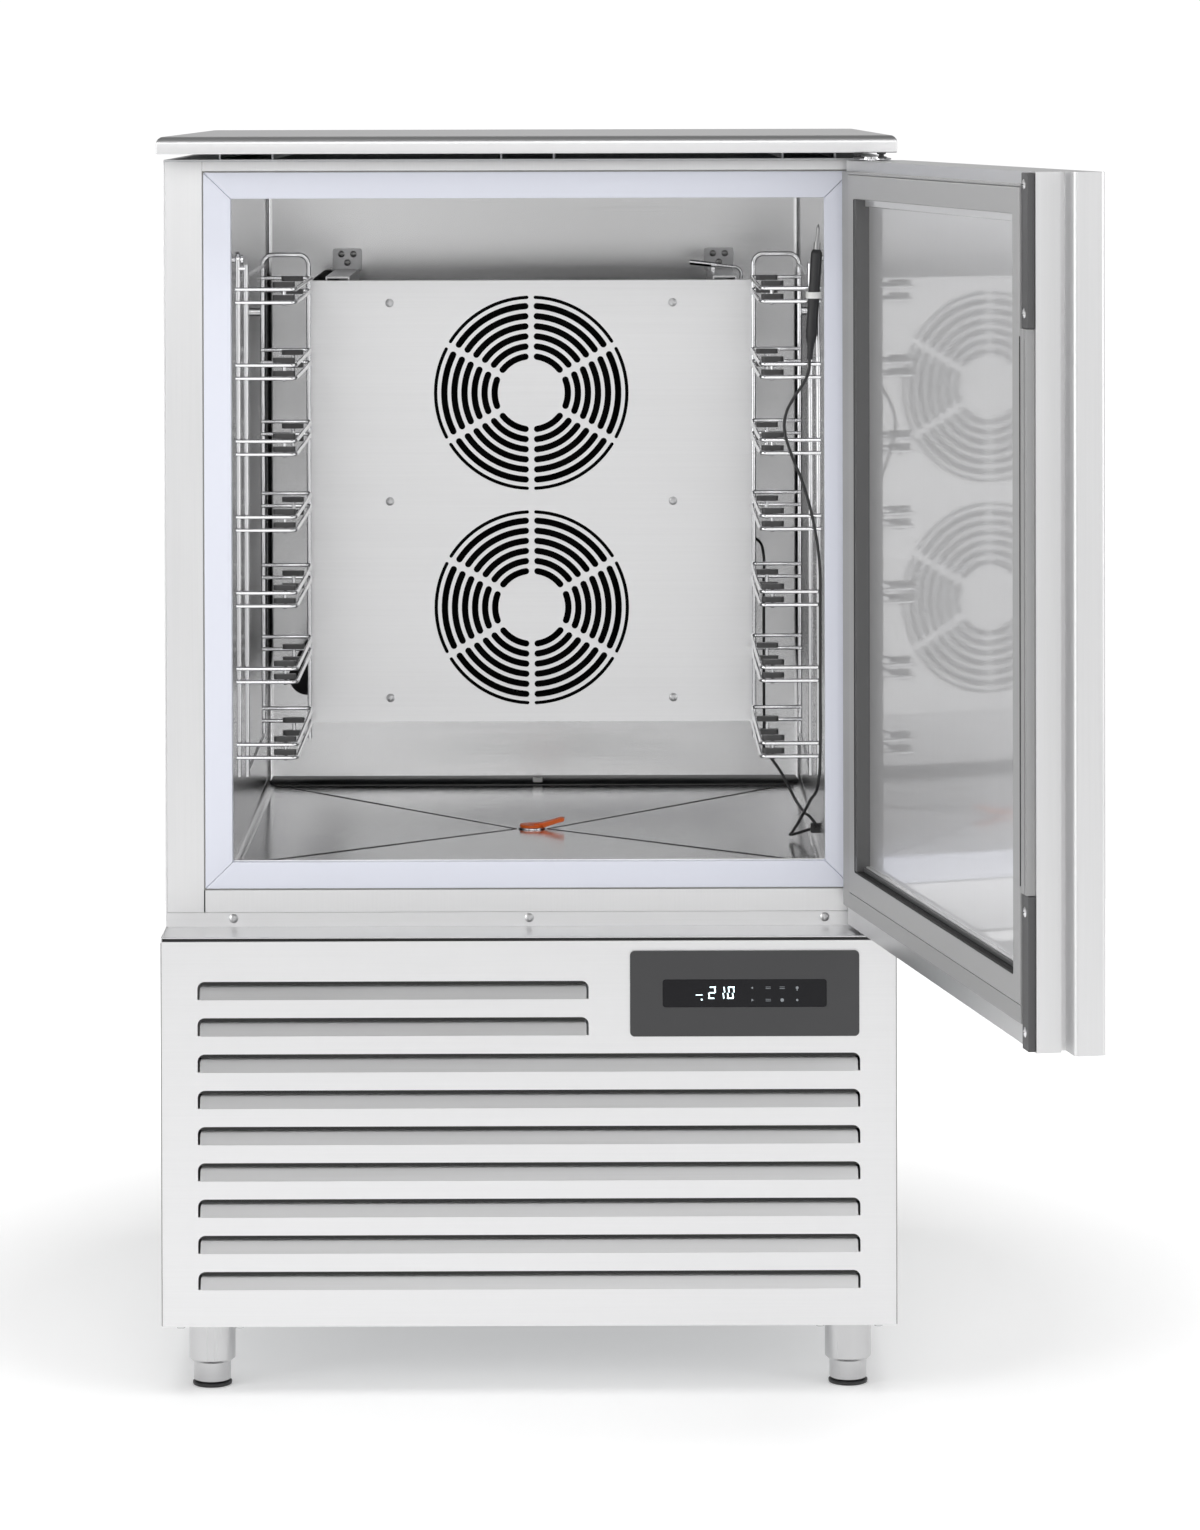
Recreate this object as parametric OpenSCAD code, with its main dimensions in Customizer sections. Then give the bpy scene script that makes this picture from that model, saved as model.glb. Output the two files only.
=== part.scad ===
// Blast chiller: an insulated chilling chamber over a machine compartment, on four feet.
// Millimetres. X runs to the right, Y to the back, Z up. The origin is on the floor,
// under the middle of the cabinet. The door is drawn open, turned about its hinge pins.

/* [Cabinet] */
// Width of the cabinet
cab_w = 800; // [790:1:840]
// Depth of the cabinet, from the lower front panel to the back panel
cab_d = 820; // [810:1:880]
// Height of the worktop's upper face above the floor
cab_h = 1370; // [1360:1:1400]
// Clear height under the cabinet, taken up by the feet
leg_h = 76; // [70:1:100]
// Height of the machine compartment, from its tray to its deck
machine_h = 424; // [415:1:430]
// Distance of the chamber's front face behind the lower front panel
face_set = 73; // [70:1:80]
// Thickness of the casing's sheet steel
sheet_t = 2; // [1.5:0.5:2.5]

/* [Worktop] */
// Thickness of the worktop at its edge
top_t = 19; // [16:1:24]
// Overhang of the worktop past each side panel
top_over = 2; // [0:1:6]
// Dark gap between the worktop and the roof
top_gap = 7; // [5:1:9]
// Radius of the worktop's upper edge
top_edge_r = 8; // [4:1:10]

/* [Chamber] */
// Width of each pillar beside the frame
pillar_w = 44; // [40:1:48]
// Height from the opening up to the roof
head_h = 43; // [40:1:50]
// Height of the opening's sill above the deck
open_sill = 71; // [68:1:74]
// Width of the frame round the opening
frame_w = 30; // [26:1:34]
// Depth of the frame, front to back
frame_d = 14; // [12:1:18]
// Distance the frame stands proud of the steel face
frame_proud = 1; // [0.5:0.5:1.5]
// Thickness of the foam behind the chamber
back_foam = 73; // [60:1:80]
// Thickness of the liner's sheet steel
liner_t = 2; // [1.5:0.5:2]
// Fall of the floor from its edges to the drain
floor_fall = 8; // [6:1:9]
// Radius of the drain's bore
drain_r = 10; // [8:0.5:12]
// Distance of the drain behind the middle of the cabinet
drain_y = 5; // [-20:1:30]

/* [Evaporator] */
// Distance of the cover in front of the evaporator from each wall
cover_gap = 69; // [68:1:72]
// Height of the cover's lower edge above the chamber's floor edge
cover_up = 112; // [105:1:118]
// Distance of the cover's face in front of the chamber's back wall
cover_set = 287; // [280:1:290]
// Depth of the folded edges round the cover
cover_fold = 20; // [15:1:24]
// Least metal left between the two fan guards
guard_space = 23.6; // [20:0.1:30]
// Radius of the innermost ring of slots
guard_r0 = 43; // [42:0.5:44]
// Number of full rings of slots
guard_rings = 6; // [4:1:6]
// Width of the thin outermost ring of slots
rim_slot_w = 4; // [3:0.5:4.5]
// Width of the spokes left between the slots
spoke_w = 6; // [5:0.5:8]

/* [Racks] */
// Number of tray levels
levels = 7; // [5:1:7]
// Height of the lowest tray level above the floor's edge
low_level = 130; // [126:1:134]
// Distance of the top tray level below the opening's upper edge
top_level = 101; // [98:1:106]
// Distance of a runner from its wall
runner_in = 70; // [68:1:71]
// Distance of the runners' back ends in front of the cover
runner_gap = 15; // [12:1:20]
// Distance between the two wires of a level
wire_pair = 14.6; // [13:0.1:16]
// Radius of the runner wires
wire_r = 2.25; // [2:0.05:2.4]
// Radius of the upright rods
rod_r = 2.75; // [2.5:0.05:3]

/* [Door] */
// Thickness of the door's outer slab, which carries the grip
slab_out = 31; // [30:0.5:32]
// Depth of the groove between the two slabs along the free edge
groove_d = 7; // [5:0.5:8]
// Thickness of the door's inner slab
slab_in = 24.5; // [23:0.5:25.5]
// Clearance under and over the door
door_gap_z = 4; // [4:0.5:5]
// Clearance between the door and the roof line
door_gap_top = 2; // [1.5:0.5:3]
// Distance the grip reaches past the inner slab
grip_reach = 22; // [18:1:26]
// Width of the gasket
gasket_w = 26; // [22:1:28]
// Depth of the pan pressed into the door's inner face
pan_d = 6; // [4:1:8]
// Angle at which the door stands open
door_open = 100.4; // [90:0.1:105]
// Radius of the hinge pins
pin_r = 6; // [5:0.5:7]

/* [Front panel] */
// Number of louvres
louvres = 9; // [5:1:9]
// Height between louvres
louvre_pitch = 39.5; // [38:0.5:40]
// Height of a louvre's opening
louvre_h = 19.5; // [18:0.5:22]
// Angle at which a louvre is bent inwards
louvre_tilt = 28; // [20:1:32]
// Distance of the louvres from each side of the panel
louvre_edge = 40; // [36:1:50]
// Width of the control bezel
bezel_w = 249; // [240:1:252]
// Distance of the short louvres' ends from the bezel
bezel_gap = 45; // [40:1:60]
// Height of the control bezel
bezel_h = 93; // [88:1:96]
// Width of the glass in the bezel
glass_w = 178; // [170:1:184]
// Height of the glass in the bezel
glass_h = 30; // [28:1:34]

/* [Feet] */
// Distance of each foot's axis from the cabinet's side
foot_in_x = 51; // [48:1:60]
// Distance of each foot's axis from the cabinet's front or back
foot_in_y = 58; // [50:1:65]
// Outer radius of a foot's fixed sleeve
sleeve_r = 25.5; // [24:0.5:28]
// Radius of a foot's sliding leg
leg_r = 20.5; // [18:0.5:21]
// Length of leg that shows under the sleeve
leg_show = 23; // [18:1:30]

/* [Probe cord] */
// Radius of the probe's cord
cord_r = 1.6; // [1.5:0.05:1.8]

/* [Hidden] */
$fn = 48;

// Cuts run past the faces they open by this much.
over = 1;
// Running clearance of a pin or shaft in its bore, on the radius.
run_fit = 0.05;
// Clearance between parts that move past each other.
clear = 0.3;

// Cabinet.
side_x = cab_w / 2;
front_y = -cab_d / 2;
back_y = cab_d / 2;
face_y = front_y + face_set;
tray_z = leg_h;
foot_x = side_x - foot_in_x;
foot_y = back_y - foot_in_y;
deck_z = leg_h + machine_h;
edge_z = cab_h - top_t;
roof_z = edge_z - top_gap;

// Chamber.
sill_z = deck_z + open_sill;
lintel_z = roof_z - head_h;
frame_x = side_x - pillar_w;
open_x = frame_x - frame_w;
frame_y0 = face_y - frame_proud;
frame_y1 = frame_y0 + frame_d + frame_proud;
fascia_gap = 1.5;
wall_x = open_x + 1;
wall_y = back_y - sheet_t - back_foam;
chamber_d = wall_y - frame_y1;
ceiling_z = lintel_z + 4;
floor_z = sill_z - 5;
drain_z = floor_z - floor_fall;
drain_wall = 2.5;
drain_fit = 0.5;
drain_flange_r = drain_r + 6;
drain_flange_t = 1.5;
flange_z = drain_z + floor_fall * drain_flange_r / (chamber_d / 2) + 0.1;
screw_r = 2.4;
screw_head_r = 5;
screw_head_h = 2.2;
sill_screw_x = open_x - 1;
sill_flange_h = 16;
sill_screw_z = deck_z + 9.5;

// Evaporator.
cover_y = wall_y - cover_set;
cover_x = wall_x - cover_gap;
cover_z0 = floor_z + cover_up;
top_level_z = lintel_z - top_level;
cover_z1 = top_level_z - 4;
cover_h = cover_z1 - cover_z0;
fan_pitch = cover_h / 2 - 7;
guard_out = fan_pitch / 2 + 2 - guard_space / 2 - rim_slot_w;
guard_pitch = (guard_out + 1.6 - guard_r0) / guard_rings;
slot_w = guard_pitch * 0.635;
fan_r = guard_out - 12;
fan_mid_z = cover_z0 + cover_h / 2 + 1;
fan_z = [fan_mid_z + fan_pitch / 2, fan_mid_z - fan_pitch / 2];
cover_screw_x = cover_x - 92;
cover_screw_z = [cover_z1 - 26, cover_z0 + cover_h / 2, cover_z0 + 28];
coil_x = cover_x - 33;
coil_y0 = cover_y + 112;
coil_y1 = wall_y - 20;
fan_plate_y = cover_y + 42;
fan_hole_r = fan_r + 6;
motor_r = 36;
hub_r = 34;
shaft_r = 5;
blade_depth = 30;
bracket_x = cover_x - 30;
bracket_w = 36;

// Racks.
rack_y0 = face_y + 37;
rack_y1 = cover_y - runner_gap;
runner_x = wall_x - runner_in;
level_pitch = (top_level_z - floor_z - low_level) / (levels - 1);
rack_bottom_z = top_level_z - (levels - 1) * level_pitch - 36;
back_rod_x = [runner_x + wire_r + 1, wall_x - 13];
front_rod_x = [wall_x - 15, wall_x - 6];
weld = 0.4;
rod_front_y = rack_y0 + wire_r + rod_r - weld;
rod_back_y = rack_y1 + wire_r + rod_r - weld;

// Door, in its closed place.
door_z0 = deck_z + door_gap_z;
door_z1 = roof_z - door_gap_top;
door_x1 = side_x - 4;
grip_x = -side_x;
slab_x0 = grip_x + grip_reach;
slab_y = front_y + slab_out;
groove_x = slab_x0 + 10;
groove_y = slab_y + groove_d;
inner_y = groove_y + slab_in;
pivot = [side_x - 24, inner_y - 23];
skin_t = 1.5;
gasket_x = open_x + gasket_w;
gasket_z0 = sill_z - gasket_w + 1;
gasket_z1 = lintel_z + gasket_w;
gasket_y = frame_y0 - clear;
trim_x = [slab_x0 + 4, side_x - 18];
trim_z = [gasket_z0 - 18, gasket_z1 + 3];
trim_d = 8.5;

// Front panel.
panel_z0 = tray_z;
panel_z1 = deck_z - 4.5;
louvre_z1 = deck_z - 48;
short_louvres = 2;
bezel_x = side_x - louvre_edge - bezel_w / 2 - 1;
short_end_x = bezel_x - bezel_w / 2 - bezel_gap;
bezel_z = deck_z - 15.5 - bezel_h / 2;
bezel_t = 2.5;
glass_z = bezel_z + 0.4;

// Condenser.
cond_x = [-side_x + 55, side_x - 320];
cond_y = [front_y + 38, front_y + 80];
cond_z = [tray_z + 16, deck_z - 48];
cond_fan_r = (cond_z[1] - cond_z[0]) / 2 - 30;
cond_rows = 7;
cond_row_pitch = (cond_z[1] - cond_z[0] - 50) / (cond_rows - 1);
cond_mid = [(cond_x[0] + cond_x[1]) / 2, (cond_z[0] + cond_z[1]) / 2];
cond_plate_y = cond_y[1] + 40;

// Probe.
probe_y = rack_y0 - wire_r - 7.6;
probe_top = [wall_x - 8, probe_y, top_level_z + 43];
probe_tilt = 3.8;
handle_r = 6.3;
handle_l = 104;
relief_l = 18;

// The cord's route, from the end of the probe's strain relief to the evaporator, for the
// chamber that the photo shows. Its points keep their places between walls, floor and racks.
drawn = [327, -300, 48, 566, 1200];
drawn_route = [
    [310.9, -309.8, 1121.2], [310, -309.8, 1109], [305, -310, 1097], [294, -308, 1080],
    [285, -307, 1062], [283, -307, 1045], [290, -308, 1018], [303, -310, 985],
    [314, -310, 945], [321, -310, 900], [322, -310, 840], [322, -309, 760],
    [322, -307, 690], [320, -296, 650], [313, -250, 625], [303, -190, 593],
    [297, -150, 575], [297, -137, 571], [304, -140, 573], [314, -158, 579],
    [321, -176, 584], [322, -190, 590], [318, -192, 596], [311, -170, 600],
    [304, -130, 606], [297, -85, 616], [289, -45, 629], [278, -8, 642],
    [272, 20, 648], [272, 45, 656], [273, 62, 675], [273, 66, 710],
    [273, 66, 780], [273, 67, 840], [273, 74, 872], [268, 86, 886],
    [258, 92, 890], [248, 92, 890], [229, 92, 890]
];
cord_route = [for (p = drawn_route) [
    p.x - drawn[0] + wall_x,
    rack_y0 + (p.y - drawn[1]) * (cover_y - rack_y0) / (drawn[2] - drawn[1]),
    floor_z + (p.z - drawn[3]) * (top_level_z - floor_z) / (drawn[4] - drawn[3])
]];
cord_sides = 8;
cord_steps = 2;

// ---------------------------------------------------------------- shared forms

// A block between two opposite corners.
module block(lo, hi) {
    translate(lo) cube(hi - lo);
}

// A plane rectangle with round corners, centred.
module round_rect(w, h, r) {
    square([w - 2 * r, h], center = true);
    square([w, h - 2 * r], center = true);
    for (sx = [-1, 1], sy = [-1, 1])
        translate([sx * (w / 2 - r), sy * (h / 2 - r)]) circle(r);
}

// Stands a drawing made in X and Z upright, with its thickness running back from y.
module upright(y, t) {
    translate([0, y + t, 0]) rotate([90, 0, 0]) linear_extrude(t) children();
}

// Stands a drawing made in Y and Z upright, with its thickness running right from x.
module sideways(x, t) {
    translate([x, 0, 0]) rotate([90, 0, 90]) linear_extrude(t) children();
}

function unit(v) = v / norm(v);

// Three axes whose last one runs along w.
function axes_of(w) =
    let (k = unit(w), h = abs(k.z) < 0.9 ? [0, 0, 1] : [1, 0, 0], i = unit(cross(h, k)))
    [i, cross(k, i), k];

module placed(p, i, j, k) {
    multmatrix([
        [i.x, j.x, k.x, p.x],
        [i.y, j.y, k.y, p.y],
        [i.z, j.z, k.z, p.z],
        [0, 0, 0, 1]
    ]) children();
}

// A straight round bar between two points.
module rod(a, b, r) {
    f = axes_of(b - a);
    placed(a, f[0], f[1], f[2]) cylinder(h = norm(b - a), r = r, $fn = 24);
}

// The angle by which a bent bar turns at point i of its route.
function turn_at(pts, i) =
    acos(max(-1, min(1, unit(pts[i] - pts[i - 1]) * unit(pts[i + 1] - pts[i]))));

// How much of each straight run the bend at point i takes.
function trim_at(pts, i, bend) =
    i <= 0 || i >= len(pts) - 1 ? 0 : bend * tan(turn_at(pts, i) / 2);

// A round bar along a route of straight runs, bent to one radius at each corner.
module bent_rod(pts, r, bend) {
    for (i = [0 : len(pts) - 2]) {
        d = unit(pts[i + 1] - pts[i]);
        rod(pts[i] + d * trim_at(pts, i, bend), pts[i + 1] - d * trim_at(pts, i + 1, bend), r);
    }
    for (i = [1 : 1 : len(pts) - 2]) {
        into = unit(pts[i] - pts[i - 1]);
        out = unit(pts[i + 1] - pts[i]);
        axis = unit(cross(into, out));
        inward = cross(axis, into);
        start = pts[i] - into * trim_at(pts, i, bend);
        placed(start + inward * bend, -inward, into, axis)
            rotate_extrude(angle = turn_at(pts, i), $fn = 48)
                translate([bend, 0]) circle(r, $fn = 24);
    }
}

// A domed screw head with a cross recess, facing the front at the origin.
module screw_head(r, h) {
    difference() {
        intersection() {
            rotate([90, 0, 0]) cylinder(h = h, r = r, $fn = 32);
            translate([0, r * 1.6 - h, 0]) sphere(r * 1.6, $fn = 48);
        }
        for (a = [0, 90])
            rotate([0, a, 0]) block([-r * 0.55, -h - over, -r * 0.11], [r * 0.55, -h * 0.45, r * 0.11]);
    }
}

// A pan-head screw: head in front of the sheet at y = 0, shank behind it.
module screw(shank_l) {
    screw_head(screw_head_r, screw_head_h);
    rotate([-90, 0, 0]) cylinder(h = shank_l, r = screw_r, $fn = 24);
}

// ---------------------------------------------------------------- casing

// A plate's section with both upper corners rounded, drawn from the origin.
module soft_edge(l, t, r) {
    translate([r, 0]) square([l - 2 * r, t]);
    square([l, t - r]);
    for (x = [r, l - r]) translate([x, t - r]) circle(r);
}

// Worktop: a folded tray, open below, with a rounded upper edge.
module worktop() color("gainsboro") {
    w = cab_w + 2 * top_over;
    difference() {
        intersection() {
            translate([-w / 2, front_y, edge_z])
                rotate([90, 0, 90]) linear_extrude(w) soft_edge(cab_d, top_t, top_edge_r);
            translate([-w / 2, back_y, edge_z])
                rotate([90, 0, 0]) linear_extrude(cab_d) soft_edge(w, top_t, top_edge_r);
        }
        block([-w / 2 + sheet_t + top_edge_r, front_y + sheet_t + top_edge_r, edge_z - over],
              [w / 2 - sheet_t - top_edge_r, back_y - sheet_t - top_edge_r, cab_h - sheet_t]);
    }
}

// Roof of the cabinet, with three raised ribs that carry the worktop.
module roof_panel() color("silver") {
    rib_w = 60;
    block([-side_x + sheet_t, face_y, roof_z - sheet_t],
          [side_x - sheet_t, back_y - sheet_t, roof_z]);
    for (x = [-1, 0, 1] * (side_x - 90))
        difference() {
            block([x - rib_w / 2, face_y + 20, roof_z - sheet_t],
                  [x + rib_w / 2, back_y - 40, cab_h - sheet_t]);
            block([x - rib_w / 2 + sheet_t, face_y + 20 - over, roof_z],
                  [x + rib_w / 2 - sheet_t, back_y - 40 + over, cab_h - 2 * sheet_t]);
        }
}

// Side panel outline: the upper part steps back behind the lower one.
module side_outline() {
    polygon([
        [front_y + sheet_t, tray_z], [back_y, tray_z], [back_y, roof_z],
        [face_y, roof_z], [face_y, deck_z], [front_y + sheet_t, deck_z]
    ]);
}

module side_panel_left() color("silver") sideways(-side_x, sheet_t) side_outline();

module side_panel_right() color("silver") sideways(side_x - sheet_t, sheet_t) side_outline();

// Back panel, with rows of vent slots over the machine compartment.
module back_panel() color("silver") {
    slot_l = 150;
    slot_h = 8;
    rows = 9;
    difference() {
        block([-side_x + sheet_t, back_y - sheet_t, tray_z + sheet_t],
              [side_x - sheet_t, back_y, roof_z - sheet_t]);
        upright(back_y - sheet_t - over, sheet_t + 2 * over)
            for (x = [-1, 0, 1] * 190, i = [0 : rows - 1])
                translate([x, tray_z + 160 + i * 26]) round_rect(slot_l, slot_h, slot_h / 2 - 0.01);
        translate([gland_pos.x, back_y - sheet_t - over, gland_pos.z])
            rotate([-90, 0, 0]) cylinder(h = sheet_t + 2 * over, r = gland_r + 0.2);
    }
}

// Front face of the upper cabinet: two pillars and two cross strips round the frame.
module front_fascia() color("silver") {
    fold = 12;
    seam_w = 1;
    seam_d = sheet_t * 0.6;
    difference() {
        block([-side_x + sheet_t, face_y, deck_z], [side_x - sheet_t, face_y + sheet_t, roof_z - sheet_t]);
        block([-frame_x - fascia_gap, face_y - over, sill_z - frame_w + 1 - fascia_gap],
              [frame_x + fascia_gap, face_y + sheet_t + over, lintel_z + frame_w - 1 + fascia_gap]);
        for (s = [-1, 1], z = [[deck_z + sill_flange_h, sill_z - frame_w], [lintel_z + frame_w, roof_z]])
            block([s * (frame_x + fascia_gap - seam_w / 2) - seam_w / 2, face_y - over, z[0]],
                  [s * (frame_x + fascia_gap - seam_w / 2) + seam_w / 2, face_y + seam_d, z[1]]);
        for (x = [-1, 0, 1] * sill_screw_x)
            translate([x, face_y - over, sill_screw_z])
                rotate([-90, 0, 0]) cylinder(h = sheet_t + 2 * over, r = screw_r + 0.1, $fn = 24);
    }
    for (s = [-1, 1])
        block([s * (side_x - sheet_t * 1.5) - sheet_t / 2, face_y + sheet_t, deck_z + 40],
              [s * (side_x - sheet_t * 1.5) + sheet_t / 2, face_y + sheet_t + fold, roof_z - 40]);
}

// Deck over the machine compartment, turned up at the front and screwed to the face.
module machine_deck() color("silver") {
    difference() {
        union() {
            block([-side_x + sheet_t, front_y + sheet_t, deck_z - sheet_t],
                  [side_x - sheet_t, back_y - sheet_t, deck_z]);
            block([-side_x + sheet_t, face_y - sheet_t, deck_z - sheet_t],
                  [side_x - sheet_t, face_y, deck_z + sill_flange_h]);
        }
        for (x = [-1, 0, 1] * sill_screw_x)
            translate([x, face_y - sheet_t - over, sill_screw_z])
                rotate([-90, 0, 0]) cylinder(h = sheet_t + 2 * over, r = screw_r + 0.1, $fn = 24);
        deck_holes(deck_z - sheet_t - over, sheet_t + 2 * over);
    }
}

// Holes for the drain and the two refrigerant pipes, shared by the deck and the foam.
module deck_holes(z, h) {
    translate([0, drain_y, z]) cylinder(h = h, r = drain_r + drain_wall + drain_fit);
    for (p = riser_pos) translate([p.x, p.y, z]) cylinder(h = h, r = riser_r + 1);
}

// Frame of moulded plastic round the opening: four bars that meet in mitres.
module breaker_frame() color("lavender") {
    joint = 0.2;
    z0 = sill_z - frame_w + 1;
    z1 = lintel_z + frame_w - 1;
    upright(frame_y0, frame_y1 - frame_y0) {
        polygon([[-frame_x + joint, z1], [frame_x - joint, z1],
                 [open_x - joint, lintel_z], [-open_x + joint, lintel_z]]);
        polygon([[-frame_x + joint, z0], [frame_x - joint, z0],
                 [open_x - joint, sill_z], [-open_x + joint, sill_z]]);
        for (s = [-1, 1])
            polygon([[s * frame_x, z1 - joint], [s * open_x, lintel_z - joint],
                     [s * open_x, sill_z + joint], [s * frame_x, z0 + joint]]);
    }
}

// Foam between the casing and the liner.
module insulation() color("khaki") {
    difference() {
        block([-side_x + sheet_t, face_y + sheet_t, deck_z],
              [side_x - sheet_t, back_y - sheet_t, roof_z - sheet_t]);
        block([-wall_x - liner_t, face_y, drain_z - liner_t],
              [wall_x + liner_t, wall_y + liner_t, ceiling_z + liner_t]);
        block([-frame_x, face_y, sill_z - frame_w + 1], [frame_x, frame_y1, lintel_z + frame_w - 1]);
        block([-side_x, face_y, deck_z + 39], [-side_x + 3 * sheet_t, face_y + 16, roof_z - 39]);
        block([side_x - 3 * sheet_t, face_y, deck_z + 39], [side_x, face_y + 16, roof_z - 39]);
        for (x = [-1, 0, 1] * sill_screw_x)
            translate([x, face_y, sill_screw_z])
                rotate([-90, 0, 0]) cylinder(h = 20, r = screw_r + 0.4, $fn = 24);
        deck_holes(deck_z - over, riser_in + 2);
        translate([0, drain_y, deck_z]) cylinder(h = floor_z - deck_z, r = drain_r + drain_wall + drain_fit);
    }
}

// ---------------------------------------------------------------- chamber

// Walls, back and ceiling of the chamber.
module liner_shell() color("lightgray") {
    difference() {
        block([-wall_x - liner_t, frame_y1, drain_z - liner_t],
              [wall_x + liner_t, wall_y + liner_t, ceiling_z + liner_t]);
        block([-wall_x, frame_y1 - over, drain_z - liner_t - over], [wall_x, wall_y, ceiling_z]);
    }
}

// Floor of the chamber: four flat falls that meet at the drain in an X of creases.
module liner_floor() color("gray") {
    corners = [[-wall_x, frame_y1], [wall_x, frame_y1], [wall_x, wall_y], [-wall_x, wall_y]];
    top = [for (c = corners) [c.x, c.y, floor_z]];
    under = [for (c = corners) [c.x, c.y, floor_z - liner_t]];
    points = concat(top, [[0, drain_y, drain_z]], under, [[0, drain_y, drain_z - liner_t]]);
    faces = concat(
        [for (i = [0 : 3]) [i, 4, (i + 1) % 4]],
        [for (i = [0 : 3]) [5 + i, 5 + (i + 1) % 4, 9]],
        [for (i = [0 : 3]) [i, (i + 1) % 4, 5 + (i + 1) % 4, 5 + i]]
    );
    difference() {
        polyhedron(points, faces);
        translate([0, drain_y, drain_z - 10]) cylinder(h = 20, r = drain_r + drain_wall + drain_fit);
    }
}

// Drain: a flange on the floor with a tube down through the foam and the deck.
module drain_fitting() color("silver") {
    tube_end = deck_z - 40;
    translate([0, drain_y, 0])
        difference() {
            union() {
                translate([0, 0, flange_z]) cylinder(h = drain_flange_t, r = drain_flange_r);
                translate([0, 0, tube_end]) cylinder(h = flange_z - tube_end, r = drain_r + drain_wall);
            }
            translate([0, 0, tube_end - over]) cylinder(h = cab_h, r = drain_r);
        }
}

// Rubber plug of the drain, with a flat pull tab that rises to the right.
module drain_plug() color("orangered") {
    disc_z = flange_z + drain_flange_t + clear;
    disc_r = drain_r + 4;
    disc_t = 3;
    tab = [[0, 0], [13, 0], [25, 4], [35, 7], [36, 10], [32, 11], [22, 8], [10, 5], [0, 4]];
    translate([0, drain_y, 0]) {
        difference() {
            translate([0, 0, disc_z]) cylinder(h = disc_t, r = disc_r);
            translate([-2, 0, disc_z + disc_t]) sphere(3);
        }
        translate([0, 0, disc_z - 10]) cylinder(h = 10, r = drain_r - clear - 0.1);
        translate([0, 6, disc_z]) rotate([90, 0, 0]) linear_extrude(12) translate([2, 0]) polygon(tab);
    }
}

// ---------------------------------------------------------------- evaporator

// One slot of a fan guard: an arc between two spokes, with round ends.
module guard_slot(r, w, depth) {
    margin = asin((spoke_w / 2 + w / 2) / r);
    rotate([0, 0, margin]) rotate_extrude(angle = 60 - 2 * margin, $fn = 96)
        translate([r - w / 2, 0]) square([w, depth]);
    for (a = [margin, 60 - margin])
        rotate([0, 0, a]) translate([r, 0, 0]) cylinder(h = depth, r = w / 2 - 0.03, $fn = 24);
}

// All slots of one guard, cut through a sheet of the given depth, facing the front.
module guard_slots(depth) {
    rotate([90, 0, 0]) translate([0, 0, -depth])
        for (k = [0 : 5]) rotate([0, 0, 30 + 60 * k]) {
            for (i = [0 : guard_rings - 1]) guard_slot(guard_r0 + i * guard_pitch, slot_w, depth);
            guard_slot(guard_r0 + guard_rings * guard_pitch - 1.6, rim_slot_w, depth);
        }
}

// Cover of the evaporator: a folded sheet with two punched fan guards.
module evap_panel() color("gainsboro") {
    x = cover_x;
    difference() {
        block([-x, cover_y, cover_z0], [x, cover_y + cover_fold, cover_z1]);
        block([-x + liner_t, cover_y + liner_t, cover_z0 + liner_t],
              [x - liner_t, cover_y + cover_fold + over, cover_z1 - liner_t]);
        for (z = fan_z) translate([0, cover_y - over, z]) guard_slots(liner_t + 2 * over);
        for (sx = [-1, 1], z = cover_screw_z)
            translate([sx * cover_screw_x, cover_y - over, z])
                rotate([-90, 0, 0]) cylinder(h = liner_t + 2 * over, r = screw_r + 0.1, $fn = 24);
    }
}

// Plate behind the cover with a round hole for each fan, and posts for the cover's screws.
module evap_fan_plate() color("silver") {
    post_r = 7;
    difference() {
        union() {
            block([-coil_x, fan_plate_y, cover_z0 + 8], [coil_x, fan_plate_y + liner_t, cover_z1 - 10]);
            for (sx = [-1, 1], z = cover_screw_z)
                translate([sx * cover_screw_x, cover_y + liner_t, z])
                    rotate([-90, 0, 0]) cylinder(h = fan_plate_y - cover_y - liner_t + over, r = post_r);
        }
        for (z = fan_z) translate([0, fan_plate_y - over, z])
            rotate([-90, 0, 0]) cylinder(h = liner_t + 2 * over, r = fan_hole_r, $fn = 96);
        for (sx = [-1, 1], z = cover_screw_z)
            translate([sx * cover_screw_x, cover_y, z])
                rotate([-90, 0, 0]) cylinder(h = 24, r = screw_r + 0.1, $fn = 24);
    }
}

// Two fan motors, each on a cross of flat arms screwed behind the fan plate.
module evap_fan_motors() color("dimgray") {
    y0 = fan_plate_y + liner_t + 8;
    for (z = fan_z) translate([0, 0, z]) {
        difference() {
            union() {
                translate([0, y0, 0]) rotate([-90, 0, 0]) cylinder(h = 52, r = motor_r);
                for (a = [45, 135]) rotate([0, a, 0])
                    block([-fan_hole_r - 14, y0, -7], [fan_hole_r + 14, y0 + 3, 7]);
                for (a = [45 : 90 : 315]) rotate([0, a, 0])
                    block([fan_hole_r + 3, fan_plate_y + liner_t, -7], [fan_hole_r + 14, y0 + 3, 7]);
            }
            translate([0, y0 - over, 0]) rotate([-90, 0, 0]) cylinder(h = 30, r = shaft_r + run_fit);
        }
    }
}

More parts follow.
